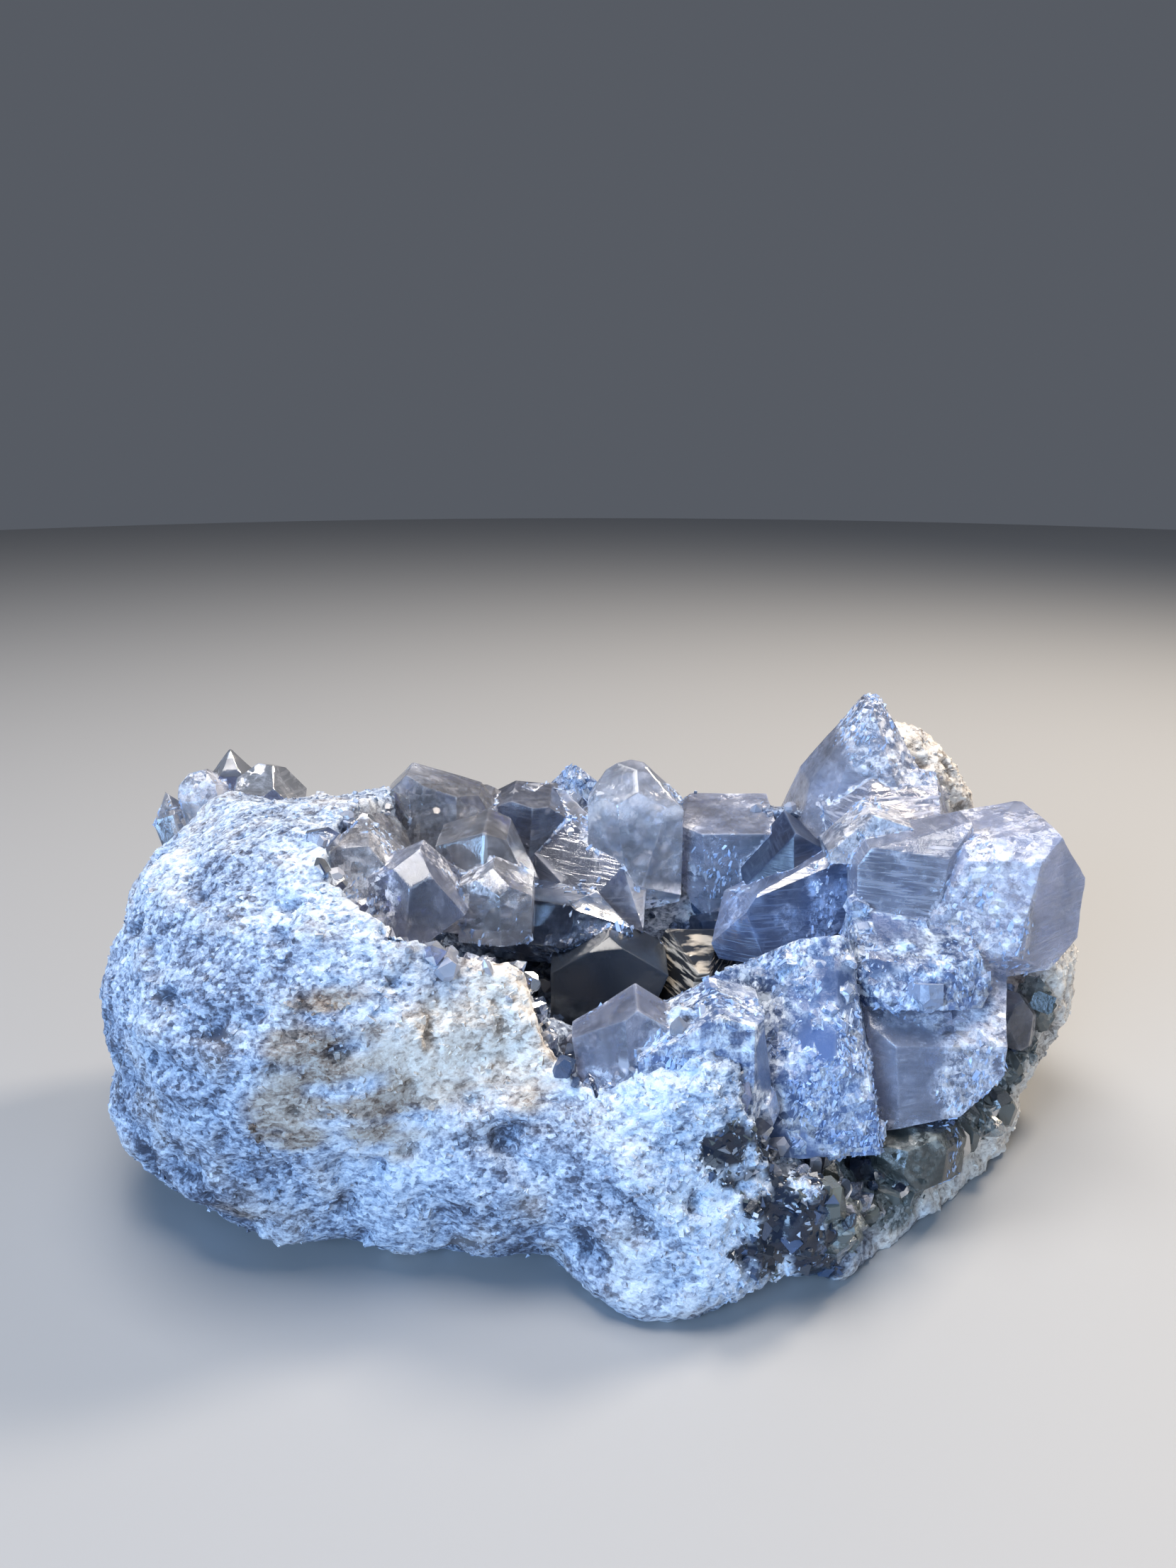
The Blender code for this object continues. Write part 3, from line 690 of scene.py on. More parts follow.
# A prism has its root, tip, width, depth, roll about its length in degrees, and habit.
# A block has its middle and flat faces. A face has the compass way it looks (0 to the
# front, 90 to the right), its slope up, and how far it stands from the middle. All in mm
hollowCrystals = {
    "small point": ((-40, 21, 46), (-42, 14, 67), 14, 11, 30, "pointed"),
    "round block": ((-48, 11, 46), (-45, 3, 64), 17, 14, 0, "blocky"),
    "rim white": ((-6, 41, 44), (-7, 44, 63), 14, 9, 0, "wedge"),
    "long edge": ((-18, 37, 54), (7, 6, 40), 17, 15, 45, "pointed"),
    "dark sparkle": ((-24, 15, 40), (5, 1, 42), 17, 14, 0, "pointed"),
    "dark blue": ((28, 23, 28), (21, 9, 39), 12, 11, 20, "blocky"),
    "long prism": ((56, 13, 54), (20, 0, 39), 15, 14, 20, "wedge"),
    "low left": ((-26, -13, 28), (-18, -19, 42), 14, 12, 0, "blocky"),
    "small grey": ((80, 7, 20), (73, -7, 29), 12, 10, 0, "blocky"),
    "lip block": ((58, -19, 10), (48, -32, 15), 14, 10, 0, "blocky"),
    "bright": ((6, 22, 54), [
        (-90, 0, 10), (-90, -33, 8.5), (-90, 31, 13), (0, 80, 15.5), (90, 45, 12), (90, 0, 9),
        (90, -67, 16), (-40, 5, 9.5), (35, 0, 9.5), (0, 12, 9.5), (-30, 48, 13), (30, 50, 13),
        (5, -50, 12), (180, 0, 8), (150, 40, 11), (-150, 35, 11), (180, -40, 12)]),
    "flat top": ((-34, 22, 56), [
        (90, 73, 10), (90, 31, 11), (-90, 45, 13), (-90, 0, 11), (-40, 25, 11), (5, 30, 11.5),
        (55, 20, 10.5), (90, 0, 12.5), (180, 10, 8), (0, -90, 18), (0, -20, 12)]),
    "lavender": ((-34, -12, 54), [
        (90, 35, 7), (-90, 61, 9), (-90, 0, 9), (80, -58, 5.5), (-90, -45, 9), (30, 10, 8.5),
        (-35, 15, 8.5), (180, 30, 8), (5, 55, 10), (0, -90, 10)]),
    "pale edge": ((-44, -8, 56), [
        (-90, 50, 9), (-90, 0, 8), (-35, 20, 8.5), (15, 25, 8), (10, 78, 9.5), (90, 40, 7),
        (90, 0, 8), (180, 20, 9), (0, -90, 10)]),
    "shelf": ((-24, 2, 56.5), [
        (-90, 70, 7), (90, 63, 7.5), (90, 23, 7), (-20, 20, 8), (35, 15, 8), (-90, 0, 8),
        (180, 0, 8), (0, -90, 10), (60, -35, 8)]),
    "veined": ((-20, -8, 52), [
        (-90, 63, 7.5), (90, 54, 6), (90, 0, 6), (0, -80, 6), (-90, 0, 7), (-25, 10, 7),
        (35, 10, 7), (0, 50, 8), (180, 0, 8)]),
    "grey back": ((-16, 30, 51), [
        (-90, 63, 11), (90, 83, 10), (90, 51, 10), (90, -11, 8), (-90, 0, 11), (-30, 5, 9),
        (30, 0, 9), (180, 0, 8), (0, -90, 14)]),
    "frosted square": ((24, 27, 48.5), [
        (0, 80, 9), (-90, 50, 12), (-90, -25, 9.5), (-90, -53, 10.5), (90, -58, 8),
        (90, -27, 7.5), (90, 0, 10.5), (0, 5, 9.5), (0, 50, 12.5), (-40, 0, 10), (180, 0, 9)]),
    "blue lean": ((36, 14, 49), [
        (-90, 39, 7), (90, 56, 9), (90, 10, 8), (90, -60, 5), (-90, -10, 9), (-30, 15, 8.5),
        (30, 15, 8), (180, 0, 8), (0, -70, 11)]),
    "dark floor": ((-1, 0, 31), [
        (-90, 63, 11), (90, 59, 11.5), (90, -27, 8), (-90, 0, 10), (5, 12, 9), (180, 10, 9),
        (0, -90, 16), (0, 55, 13)]),
    "gold side": ((16, 0, 29), [
        (-65, 32, 6.5), (0, 80, 9.5), (70, 24, 7.5), (20, 10, 8), (180, 0, 8), (-90, 0, 9),
        (0, -90, 14), (90, 0, 9)]),
}
rightCrystals = {
    "leaning slab": ((34.5, -22, 28), [
        (-13, 41, 12), (-85, -18, 12.5), (80, 12, 10.5), (-25, -25, 21), (25, -25, 22),
        (167, -43, 9), (180, 30, 14), (0, -75, 13), (-48, 36, 12), (38, 30, 12),
        (6, 14, 12), (-30, 12, 13.5)]),
    "lower slab": ((57, -18, 27), [
        (0, 15, 9), (75, 0, 12.5), (60, -38, 10), (20, -58, 11), (-90, 0, 12), (0, 60, 9),
        (180, 0, 10), (-40, 10, 12), (0, -90, 15)]),
    "shoulder": ((55, 0, 51.5), [
        (-90, 77, 11.5), (-90, 34, 12), (-90, 0, 10), (-15, 10, 8.5), (90, 0, 11), (180, 20, 9),
        (45, 0, 10), (0, -90, 14), (-10, 55, 12)]),
    "big block": ((71, 0, 49), [
        (-70, 29, 14.5), (-90, 78, 15), (90, 38, 17), (90, 0, 17), (90, -60, 14),
        (-80, -17, 14), (-90, -60, 12), (-15, 15, 13.5), (38, 0, 12.5), (180, 10, 13),
        (0, -50, 13), (-20, 55, 16), (135, 10, 15)]),
    "frosted base": ((55, -14, 38), [
        (-12, 32, 9.5), (90, 20, 12), (-90, 10, 13), (0, 70, 9), (0, -70, 2.5), (60, -20, 11),
        (180, 0, 10), (-50, -10, 11.5), (28, 18, 10), (-4, -12, 10)]),
    "peak": ((53, 30, 59.5), [
        (-90, 33, 12.5), (-90, 16, 12.5), (-10, 25, 14), (-60, 30, 13.5), (90, 29, 13),
        (45, 30, 14), (0, 80, 22), (180, 20, 9), (90, 0, 13), (0, -90, 20), (0, 0, 15)]),
    "pink facet": ((55, 15, 55), [
        (-80, 5, 12), (-35, 15, 11), (15, 10, 9), (70, 20, 12), (20, 55, 8.5), (180, 0, 8),
        (0, -90, 16), (-60, 55, 11)]),
    "bright chip": ((49, 5, 59), [
        (-90, 47, 5), (90, 75, 6.5), (90, 0, 7), (0, -80, 3.5), (-10, 10, 5), (180, 0, 6),
        (-90, -10, 8)]),
}
frontCrystals = {
    "lavender tip": ((3, -33, 35.5), [
        (-90, 56, 8), (90, 56, 9), (-90, -10, 9), (-35, 10, 6), (15, 15, 6.5), (180, 0, 6),
        (0, -90, 8), (90, 0, 9)]),
    "frosted block": ((16, -33, 34.5), [
        (-90, 62, 9.5), (90, 76, 11), (90, 8, 9.5), (60, 5, 9.5), (0, 10, 8), (180, 0, 8),
        (-90, 0, 12), (0, -90, 9)]),
}
rearCrystals = {
    "rear first": ((-88, 28, 46), (-93, 31, 61), 9, 8, 0, "pointed"),
    "rear second": ((-82, 30, 50), (-86, 33, 65), 10, 9, 30, "blocky"),
    "rear third": ((-80, 35, 50), (-81, 39, 68), 9, 8, 0, "pointed"),
    "rear fourth": ((-74, 30, 50), (-71, 34, 66), 15, 11, 10, "blocky"),
}
# each crystal's look, then frost, tone and streaks from 0 to 1
finishes = {
    "small point": ("clear", 0.2, 0.35, 0.0),
    "round block": ("clear", 0.3, 0.6, 0.0),
    "rim white": ("frosted", 0.8, 0.7, 0.0),
    "long edge": ("milky", 0.3, 0.35, 0.3),
    "dark sparkle": ("deep", 0.45, 0.6, 0.0),
    "dark blue": ("deep", 0.1, 0.6, 0.0),
    "long prism": ("blue", 0.35, 0.5, 0.4),
    "low left": ("deep", 0.3, 0.6, 0.4),
    "small grey": ("milky", 0.3, 0.2, 0.0),
    "lip block": ("sage", 0.45, 0.25, 0.0),
    "bright": ("clear", 0.35, 0.9, 0.0),
    "flat top": ("clear", 0.15, 0.5, 0.1),
    "lavender": ("milky", 0.4, 0.5, 0.0),
    "pale edge": ("clear", 0.6, 0.9, 0.0),
    "shelf": ("clear", 0.15, 0.2, 0.0),
    "veined": ("clear", 0.35, 0.25, 0.0),
    "grey back": ("milky", 0.2, 0.15, 0.2),
    "frosted square": ("milky", 0.55, 0.9, 0.2),
    "blue lean": ("blue", 0.2, 0.15, 0.2),
    # dark floor: its near-black colour is a painted dark reflection and shade on the smooth floor
    # crystal of the hollow
    "dark floor": ("dark", 0.0, 1.0, 0.0),
    # gold side: its cream ribs are painted warm highlights on the striations
    "gold side": ("gold", 0.0, 0.5, 1.0),
    "leaning slab": ("frosted", 0.9, 0.8, 0.0),
    "lower slab": ("milky", 0.6, 0.8, 0.1),
    "shoulder": ("milky", 0.35, 0.65, 0.5),
    "big block": ("milky", 0.45, 1.0, 0.3),
    "frosted base": ("frosted", 0.85, 0.75, 0.0),
    "peak": ("milky", 0.25, 0.75, 0.1),
    "pink facet": ("milky", 0.3, 0.8, 0.7),
    "bright chip": ("clear", 0.6, 1.0, 0.2),
    "lavender tip": ("milky", 0.4, 0.6, 0.0),
    "frosted block": ("frosted", 0.7, 0.6, 0.0),
    "rear first": ("clear", 0.3, 0.5, 0.0),
    "rear second": ("clear", 0.5, 0.7, 0.0),
    "rear third": ("clear", 0.3, 0.5, 0.0),
    "rear fourth": ("clear", 0.3, 0.5, 0.2),
}
# places on the crystals that are more frosted or smoother: centre, reach, change
frostSpots = [((58, 27, 75), 14, 1.0), ((50, -28, 28), 12, -0.35), ((62, -26, 27), 9, 0.5),
              ((50, -10, 53), 8, -0.5), ((82, -4, 50), 13, -0.5), ((66, -14, 50), 12, 0.3),
              ((31, -33, 19), 8, -0.6), ((37, -34, 13), 7, -0.8), ((40, -32, 26), 10, 0.7),
              ((36, -30, 44), 12, -0.3), ((34, -32, 37), 5, -0.7), ((26, -35, 37), 7, -0.7),
              ((-29, -18, 55), 8, -0.5), ((-40, -18, 56), 7, 0.4), ((12, 12, 58), 8, -0.4)]
spotEdge = 2   # a spot has its full change over the inner half of its reach
habits = ("blocky", "pointed", "wedge")
# side faces: compass angle about the length, and reach as a share of the block's
sideFaces = {
    "blocky": [(0, 1.0), (90, 1.0), (180, 1.0), (270, 1.0),
               (45, 0.82), (135, 0.88), (225, 0.84), (315, 0.9)],
    "pointed": [(36, 0.74), (144, 0.74), (216, 0.74), (324, 0.74), (90, 0.95), (270, 0.95)],
    "wedge": [(0, 1.0), (90, 1.0), (180, 1.0), (270, 1.0), (40, 0.85), (220, 0.88)],
}
# tip faces: compass angle, tilt from square, how far outside the tip it passes
tipFaces = {
    "blocky": [(20, 9, 0), (0, 52, 0.10), (180, 48, 0.12), (90, 55, 0.12), (270, 46, 0.10)],
    "pointed": [(36, 52, 0), (144, 54, 0), (216, 55, 0), (324, 51, 0),
                (90, 60, 0.04), (270, 60, 0.04)],
    "wedge": [(0, 50, 0), (180, 46, 0), (90, 60, 0.08), (270, 58, 0.10)],
}
# how the crystals are cut, in mm. Each face strays a little in angle (degrees) and reach
cut = {
    "block": 90,
    "onPlane": 0.0001, "onGrid": 0.001,
    "sideTurn": (-5, 5), "sideLean": (-0.03, 0.06), "sideReach": (0.95, 1.02),
    "tipTurn": (-8, 8), "tipTilt": (-4, 4), "tipOut": (-0.02, 0.03),
    "weld": 0.02,
    "edge": 0.35, "edgeShare": 0.03, "edgeRound": 0.6,
    "cell": 1.3, "fineFrom": 0.7, "fineCell": 0.8,
    "firstCell": 0.7, "lastCell": 0.4,
    "wave": 0.22, "waveSize": 8.0,
    "frostRelief": 0.42, "frostSize": 2.6, "frostFade": 0.9,
    "frostPatch": 9.0, "frostLevel": 0.6, "frostUneven": 2,
    "step": 0.22, "stepSize": 1.6, "stepLean": 0.3,
    "patternShift": 50,
}


def wander(draw, spread):
    # a small random move, the same way each run
    return Vector([draw.uniform(-spread, spread) for _ in range(3)])


def shave(bm, normal, distance):
    # cuts off what is outside a plane and closes the cut
    geometry = bm.verts[:] + bm.edges[:] + bm.faces[:]
    bmesh.ops.bisect_plane(bm, geom=geometry, dist=cut["onPlane"] * mm,
                           plane_co=normal * distance, plane_no=normal, clear_outer=True)
    rim = [e for e in bm.edges if e.is_boundary]
    if rim:
        bmesh.ops.holes_fill(bm, edges=rim, sides=0)


def dice(bm, cell):
    # crosses the faces with a grid, so that they can carry fine relief
    for axis in range(3):
        normal = Vector([float(i == axis) for i in range(3)])
        values = [v.co[axis] for v in bm.verts]
        place = min(values) + cell * mm * cut["firstCell"]
        while place < max(values) - cell * mm * cut["lastCell"]:
            geometry = bm.verts[:] + bm.edges[:] + bm.faces[:]
            bmesh.ops.bisect_plane(bm, geom=geometry, dist=cut["onGrid"] * mm,
                                   plane_co=normal * place, plane_no=normal)
            place += cell * mm


def prismBody(name, row):
    root, tip, width, depth, roll, habit = row
    draw = random.Random(name)
    root = Vector(root) * mm
    axis = Vector(tip) * mm - root
    length = axis.length
    bm = bmesh.new()
    bmesh.ops.create_cube(bm, size=1)
    bmesh.ops.scale(bm, verts=bm.verts, vec=(2 * width * mm, 2 * depth * mm, length))
    bmesh.ops.translate(bm, verts=bm.verts, vec=(0, 0, length / 2))
    for angle, share in sideFaces[habit]:
        turn = math.radians(angle + draw.uniform(*cut["sideTurn"]))
        across, along = math.cos(turn), math.sin(turn)
        reach = (width * abs(across) + depth * abs(along)) / 2
        normal = Vector((across, along, draw.uniform(*cut["sideLean"]))).normalized()
        shave(bm, normal, reach * share * draw.uniform(*cut["sideReach"]) * mm)
    for angle, tilt, outset in tipFaces[habit]:
        turn = math.radians(angle + draw.uniform(*cut["tipTurn"]))
        lean = math.radians(tilt + draw.uniform(*cut["tipTilt"]))
        normal = Vector((math.sin(lean) * math.cos(turn),
                         math.sin(lean) * math.sin(turn), math.cos(lean)))
        outset += draw.uniform(*cut["tipOut"])
        shave(bm, normal, length * math.cos(lean) + outset * width * mm)
    spin = Matrix.Rotation(math.radians(roll), 4, "Z")
    aim = axis.to_track_quat("Z", "Y").to_matrix().to_4x4()
    return bm, Matrix.Translation(root) @ aim @ spin


def blockBody(row):
    middle, faces = row
    bm = bmesh.new()
    bmesh.ops.create_cube(bm, size=cut["block"] * mm)
    for way, slope, reach in faces:
        turn, rise = math.radians(way), math.radians(slope)
        normal = Vector((math.sin(turn) * math.cos(rise), -math.cos(turn) * math.cos(rise),
                         math.sin(rise)))
        shave(bm, normal, reach * mm)
    return bm, Matrix.Translation(Vector(middle) * mm)


def ruffle(bm, name, frost, streak):
    # slight waves on the faces, rough relief where frosted, steps where streaked
    draw = random.Random(name + " surface")
    shift = wander(draw, cut["patternShift"])
    lean = cut["stepLean"]
    along = Vector((draw.uniform(-lean, lean), draw.uniform(-lean, lean), 1)).normalized()
    moves = []
    for vertex in bm.verts:
        p = vertex.co / mm + shift
        move = noise.noise(p / cut["waveSize"]) * cut["wave"]
        patch = cut["frostLevel"] + cut["frostUneven"] * noise.noise(p / cut["frostPatch"])
        rough = frost * frost * clamped(patch)
        move += waves(p / cut["frostSize"], cut["frostFade"], 2) * cut["frostRelief"] * rough
        step = noise.cell(Vector((0, 0, p.dot(along) / cut["stepSize"]))) - 0.5
        move += step * cut["step"] * streak
        moves.append(vertex.normal * move)
    for vertex, move in zip(bm.verts, moves):
        vertex.co += move * mm


def frostAt(p, frost):
    for centre, reach, change in frostSpots:
        frost += clamped((1 - math.dist(p, centre) / reach) * spotEdge) * change
    return clamped(frost)


def growCrystal(name, row, finish):
    look, frost, tone, streak = finish
    bm, place = blockBody(row) if len(row) == 2 else prismBody(name, row)
    bmesh.ops.remove_doubles(bm, verts=bm.verts, dist=cut["weld"] * mm)
    bmesh.ops.recalc_face_normals(bm, faces=bm.faces)
    spans = [max(v.co[i] for v in bm.verts) - min(v.co[i] for v in bm.verts) for i in range(3)]
    edge = min(cut["edge"], min(spans) / mm * cut["edgeShare"])
    bmesh.ops.bevel(bm, geom=bm.edges[:], offset=edge * mm, segments=2,
                    profile=cut["edgeRound"], affect="EDGES", clamp_overlap=True)
    dice(bm, cut["cell"] * (cut["fineCell"] if frost > cut["fineFrom"] else 1.0))
    bmesh.ops.triangulate(bm, faces=[f for f in bm.faces if len(f.verts) > 4])
    bm.normal_update()
    ruffle(bm, name, frost, streak)
    bm.transform(place)
    bmesh.ops.recalc_face_normals(bm, faces=bm.faces)
    grown = objectFrom(bm, name)
    mesh = grown.data
    paint(mesh, "grow", [(frostAt(v.co / mm, frost), tone, streak, 1) for v in mesh.vertices])
    mesh.materials.append(materials[look])
    return grown


def joined(name, grown):
    # joins crystals into one closed body, each keeping its finish
    group = bpy.data.collections.new(name + " parts")
    pieceCollection.children.link(group)
    for obj in grown[1:]:
        pieceCollection.objects.unlink(obj)
        group.objects.link(obj)
    whole = objectOf(grown[0].data.copy(), name)
    for material in materials.values():
        if material.name not in whole.data.materials:
            whole.data.materials.append(material)
    union = whole.modifiers.new("union", "BOOLEAN")
    union.operation = "UNION"
    union.solver = "MANIFOLD"
    union.operand_type = "COLLECTION"
    union.collection = group
    applyModifiers(whole)
    for obj in grown:
        bpy.data.objects.remove(obj)
    bpy.data.collections.remove(group)
    return whole


# depth as a share of the width, roll in degrees as its middle and spread
sproutShape = {"depths": (0.6, 1.0), "roll": (20, 20), "blockyFrom": 0.75}


def sprout(label, place, way, length, width, sunk, finish):
    # one small crystal, rooted in a surface, blocky where it is sunk deep
    shape = sproutShape
    look, frost, tone, streak = finish
    draw = random.Random(label)
    root = place - way * length * sunk
    row = (root, root + way * length, width, width * draw.uniform(*shape["depths"]),
           draw.gauss(*shape["roll"]),
           draw.choice(habits) if sunk < shape["blockyFrom"] else "blocky")
    bm, at = prismBody(label, row)
    bm.transform(at)
    bmesh.ops.recalc_face_normals(bm, faces=bm.faces)
    obj = objectFrom(bm, label)
    paint(obj.data, "grow", [(frost, tone, streak, 1)] * len(obj.data.vertices))
    obj.data.materials.append(materials[look])
    return obj


# low stepped plates on the crystals that are frosted more than "frostFrom"
plateletShape = {
    "seed": 3, "seedStep": 7,
    "frostFrom": 0.65, "frostOver": 0.3,
    "spacing": 5.2,
    "length": 5.0,
    "width": (2.0, 6.5), "manyNarrow": 1.5,
    "sunk": (0.84, 0.96),
    "lean": 0.12,
    "frostShare": (0.6, 1.1), "toneWander": (-0.3, 0.3),
}


def platelets(crystal, finish):
    shape = plateletShape
    look, frost, tone, streak = finish
    rng = np.random.default_rng(len(crystal.name) * shape["seedStep"] + shape["seed"])
    mesh = crystal.data
    area = sum(face.area for face in mesh.polygons) / mm ** 2
    most = area / shape["spacing"] ** 2
    count = int(most * (frost - shape["frostFrom"]) / shape["frostOver"])
    places, normals, _ = surfacePlaces(mesh, count, rng, np.ones(len(mesh.vertices)))
    grown = []
    for i in range(count):
        draw = random.Random(f"{crystal.name} {i}")
        way = Vector(normals[i]) + Vector([draw.gauss(0, shape["lean"]) for _ in range(3)])
        width = between(shape["width"], draw.random() ** shape["manyNarrow"])
        place = Vector(places[i]) / mm
        own = (look, frostAt(place, frost) * draw.uniform(*shape["frostShare"]),
               clamped(tone + draw.uniform(*shape["toneWander"])), streak)
        grown.append(sprout(f"{crystal.name} plate {i}", place, way.normalized(),
                            shape["length"], width, draw.uniform(*shape["sunk"]), own))
    return grown


# small crystals in a line along the back of the hollow's rim
rimShape = {
    "line": [(-31, 31, 60), (-17, 35, 55), (0, 36, 53), (16, 36, 52), (34, 35, 53)],
    "aim": (0, 3, 76), "wander": 0.4,
    "count": 10,
    "length": 9,
    "width": 7.5,
    "sizes": (0.8, 1.25), "widths": (0.85, 1.2),
    "sunk": 0.6,
    "finishes": [("clear", 0.6, 0.6, 0.0), ("clear", 0.3, 0.5, 0.0), ("frosted", 0.7, 0.6, 0.0)],
}


def rimRows():
    shape = rimShape
    draw = random.Random("rim")
    rows = {}
    line = shape["line"]
    for i in range(shape["count"]):
        place = i / (shape["count"] - 1) * (len(line) - 1)
        leg = min(int(place), len(line) - 2)
        onLine = Vector(line[leg]).lerp(Vector(line[leg + 1]), place - leg)
        lean = (Vector(shape["aim"]) - onLine).normalized() + wander(draw, shape["wander"])
        lean.normalize()
        size = draw.uniform(*shape["sizes"])
        root = onLine - lean * shape["length"] * size * shape["sunk"]
        tip = onLine + lean * shape["length"] * size * (1 - shape["sunk"])
        width = shape["width"] * size * draw.uniform(*shape["widths"])
        rows[f"rim {i}"] = (root, tip, width, shape["width"] * size, draw.uniform(0, 90),
                            habits[i % len(habits)])
    return rows


def growGroup(name, table, node):
    grown = []
    for index, (label, row) in enumerate(table.items()):
        finish = finishes.get(label, rimShape["finishes"][index % len(rimShape["finishes"])])
        crystal = growCrystal(label, row, finish)
        grown.append(crystal)
        if label in finishes and finish[1] > plateletShape["frostFrom"]:
            grown.extend(platelets(crystal, finish))
    return setDown(joined(name, grown), node)


# small broken plates on the frosted parts of the crystals
frostShape = {
    "seed": 23,
    "count": 10000,
    "length": (0.5, 1.7), "manySmall": 2,
    "width": 0.45,
    "height": 0.2,
    "tilt": 0.3,
    "way": (0.3, 0, 1), "spread": 0.35,
    "patchSize": 9.0, "grow": 1.3, "from": 0.75,
    "white": (0.3, 1.0),
}


def frostOver(pieces):
    shape = frostShape
    rng = np.random.default_rng(shape["seed"])
    found = []
    for piece in pieces:
        mesh = piece.data
        grow = np.empty(len(mesh.vertices) * 4, dtype=np.float32)
        mesh.color_attributes["grow"].data.foreach_get("color", grow)
        frost = grow.reshape(-1, 4)[:, 0]
        drift = np.array([noise.noise(v.co / mm / shape["patchSize"]) for v in mesh.vertices])
        weights = np.clip(frost * shape["grow"] + drift - shape["from"], 0, 1)
        area = sum(face.area for face in mesh.polygons) * weights.mean()
        found.append((mesh, weights, area))
    total = sum(area for mesh, weights, area in found)
    batches = [surfacePlaces(mesh, int(shape["count"] * area / total), rng, weights)[:2]
               for mesh, weights, area in found if area > 0]
    places, normals = (np.concatenate(pair) for pair in zip(*batches))
    axes = frames(normals, rng, shape["tilt"], shape["way"], shape["spread"])
    sizes = chipSizes(shape, len(places), rng)
    colours = np.zeros((len(places), 4))
    colours[:, 0] = between(shape["white"], rng.random(len(places)))
    colours[:, 1] = rng.random(len(places))
    colours[:, 3] = 1
    plates = chipMesh("frostPlates", {"grow": colours}, places, axes, sizes, rng)
    plates.data.materials.append(materials["scaly"])
    setDown(plates, None)


# small crystals on the rock. Each bed has its count, length and lean in mm, the share
# sunk in, and the looks that its crystals are drawn from
druseBeds = {
    "wall": {"count": 700, "length": (2.2, 6.0), "width": 0.5, "lean": 0.35, "sunk": 0.45,
             "looks": ("milky", "deep", "deep")},
    "rim": {"count": 120, "length": (2.2, 5.5), "width": 0.5, "lean": 0.35, "sunk": 0.45,
            "looks": ("clear", "clear", "milky")},
    "band": {"count": 110, "length": (2.5, 7.0), "width": 0.8, "lean": 0.4, "sunk": 0.7,
             "looks": ("sage",)},
    "lip": {"count": 9, "length": (6.0, 10.0), "width": 0.32, "lean": 0.25, "sunk": 0.4,
            "looks": ("clear", "dark", "sage"), "upward": 1.2},
}
# what the beds share, in mm. The rim's bed lies along the hollow's edge
druse = {
    "seed": 11,
    "manySmall": 1.6,
    "widths": (0.8, 1.4),
    "frost": (0.0, 0.6),
    "tone": (0.0, 0.7),
    "lowest": 7,
    "rimDepth": 0.5, "rimWidth": 3, "rimAbove": 40, "rimFrom": -37,
    "lipSpots": [((36, -39, 12), 8)],
    "paleLeftOf": -18, "paleAbove": 43, "paleLooks": ("clear", "milky"),
}


def bedWeights(rock, casts, depths):
    # how much each part of the rock carries of each bed
    corners = np.array([v.co / mm for v in rock.data.vertices])
    x, z = corners[:, 0], corners[:, 2]
    high = z > druse["lowest"]
    rim = (np.abs(depths - druse["rimDepth"]) < druse["rimWidth"]) & (z > druse["rimAbove"])
    band = (x > rightSide["from"]) * casts[:, 1] * (depths > 0)
    lip = np.array([nearSpot(corner, druse["lipSpots"]) for corner in corners])
    return {"wall": np.clip(1 - depths, 0, 1), "rim": rim * (x > druse["rimFrom"]) * 1.0,
            "band": band * high, "lip": lip * high}


def growDruse(name, beds, rock, weights):
    rng = np.random.default_rng(druse["seed"])
    grown = []
    for bed in beds:
        shape = druseBeds[bed]
        places, normals, _ = surfacePlaces(rock.data, shape["count"], rng, weights[bed])
        for i in range(shape["count"]):
            draw = random.Random(f"{bed} {i}")
            length = between(shape["length"], draw.random() ** druse["manySmall"])
            lean = Vector(normals[i]) + Vector([draw.gauss(0, shape["lean"]) for _ in range(3)])
            lean.z += shape.get("upward", 0.0)
            place = Vector(places[i]) / mm
            pale = bed == "wall" and place.x < druse["paleLeftOf"] and place.z > druse["paleAbove"]
            look = draw.choice(druse["paleLooks"] if pale else shape["looks"])
            frost = draw.uniform(*druse["frost"]) * (look != "dark")
            finish = (look, frost, draw.uniform(*druse["tone"]), 0.0)
            width = length * shape["width"] * draw.uniform(*druse["widths"])
            grown.append(sprout(f"{bed} {i}", place, lean.normalized(), length, width,
                                shape["sunk"], finish))
    setDown(joined(name, grown), None)


rock, tones, casts, depths = dressRock()
sprinkleGrains(rock, tones, casts)
hollowPiece = growGroup("hollowCrystals", {**hollowCrystals, **rimRows()}, "hollow_crust")
rightPiece = growGroup("rightCrystals", rightCrystals, "right_crystals")
frontPiece = growGroup("frontCrystals", frontCrystals, "front_crystals")
rearPiece = growGroup("rearCrystals", rearCrystals, "rear_crystals")
weights = bedWeights(rock, casts, depths)
growDruse("wallDruse", ["wall"], rock, weights)
growDruse("edgeDruse", ["rim", "band", "lip"], rock, weights)
scatterShards(rock, tones, casts)
frostOver([rightPiece, hollowPiece, frontPiece, rearPiece])

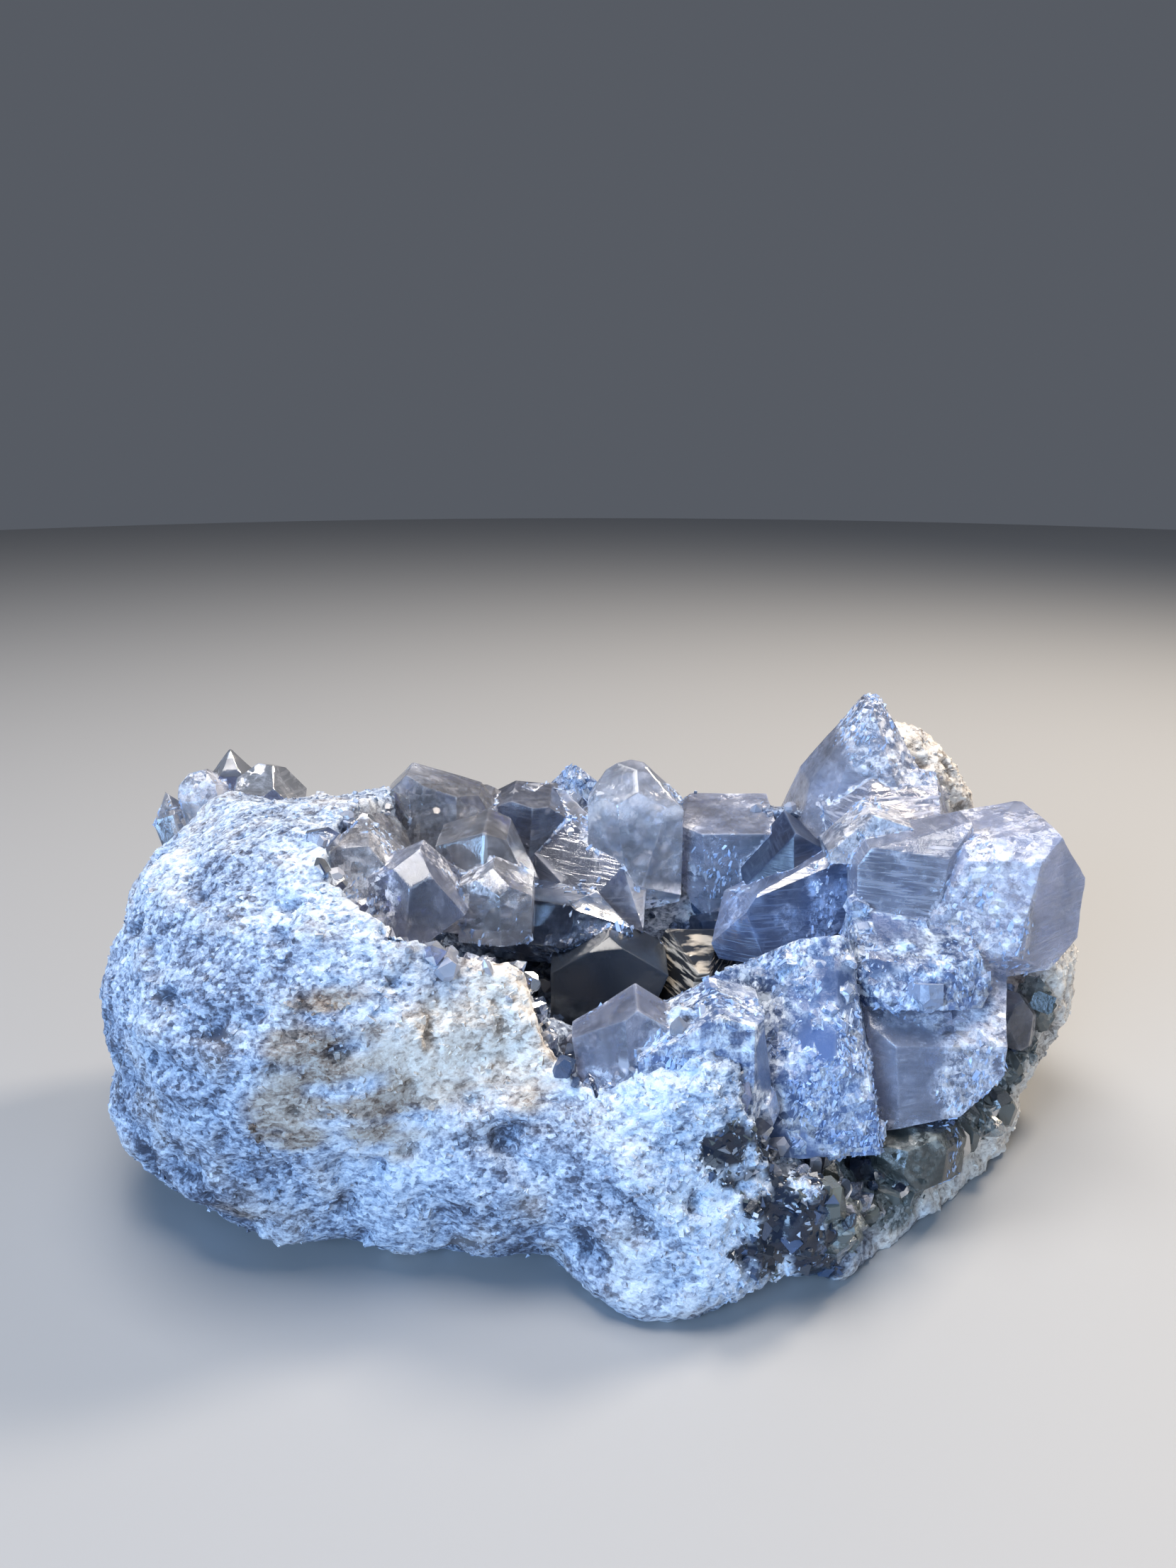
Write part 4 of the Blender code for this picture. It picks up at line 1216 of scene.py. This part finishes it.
# places in metres. A light has its place, aim, size, power and colour
studio = {
    "floor": (0.33, 0.33, 0.335), "floorRadius": 1.6, "floorSides": 96, "floorRough": 0.6,
    "world": (0.095, 0.105, 0.125),
    "cameraPlace": (-0.004, -0.2055, 0.135),
    "cameraPitch": 17,
    "focalPixels": 1661,
    "frameHeight": 2212,
    "sensor": 36,
    "nearest": 0.01,
    "window": ((-0.50, -0.72, 0.31), (0, 0, 0.03), 0.42, 9.5, (0.38, 0.63, 1.0)),
    "overhead": ((-0.1, 0.05, 0.85), (0, 0, 0.03), 0.5, 8.0, (1.0, 0.96, 0.92)),
    "fill": ((0.6, -0.6, 0.35), (0, 0, 0.03), 0.4, 1.5, (0.6, 0.78, 1.0)),
    "sun": ((0.42, 0.34, 0.60), (0.01, 0, 0.05), 0.16, 5.5, (1.0, 0.87, 0.70)),
}


def areaLight(name, place, target, size, power, colour):
    data = bpy.data.lights.new(name, "AREA")
    data.size = size
    data.energy = power
    data.color = colour
    light = bpy.data.objects.new(name, data)
    light.location = place
    light.rotation_euler = (Vector(target) - Vector(place)).to_track_quat("-Z", "Y").to_euler()
    light.visible_camera = False
    pieceCollection.objects.link(light)


def makeStudio():
    bm = bmesh.new()
    bmesh.ops.create_circle(bm, cap_ends=True, segments=studio["floorSides"],
                            radius=studio["floorRadius"])
    floor = objectFrom(bm, "floor")
    made, _, shader = newMaterial("paleFloor")
    shader.inputs["Base Color"].default_value = (*studio["floor"], 1)
    shader.inputs["Roughness"].default_value = studio["floorRough"]
    floor.data.materials.append(made)
    world = bpy.data.worlds.new("studio")
    world.use_nodes = True
    world.node_tree.nodes["Background"].inputs["Color"].default_value = (*studio["world"], 1)
    bpy.context.scene.world = world
    for name in ("window", "overhead", "fill", "sun"):
        areaLight(name, *studio[name])
    bpy.context.scene.view_settings.view_transform = "Standard"
    data = bpy.data.cameras.new("camera")
    data.sensor_width = studio["sensor"]
    data.lens = studio["sensor"] * studio["focalPixels"] / studio["frameHeight"]
    data.clip_start = studio["nearest"]
    camera = bpy.data.objects.new("camera", data)
    camera.location = studio["cameraPlace"]
    camera.rotation_euler = (math.radians(90 - studio["cameraPitch"]), 0, 0)
    pieceCollection.objects.link(camera)
    bpy.context.scene.camera = camera


makeStudio()
report("studio made")
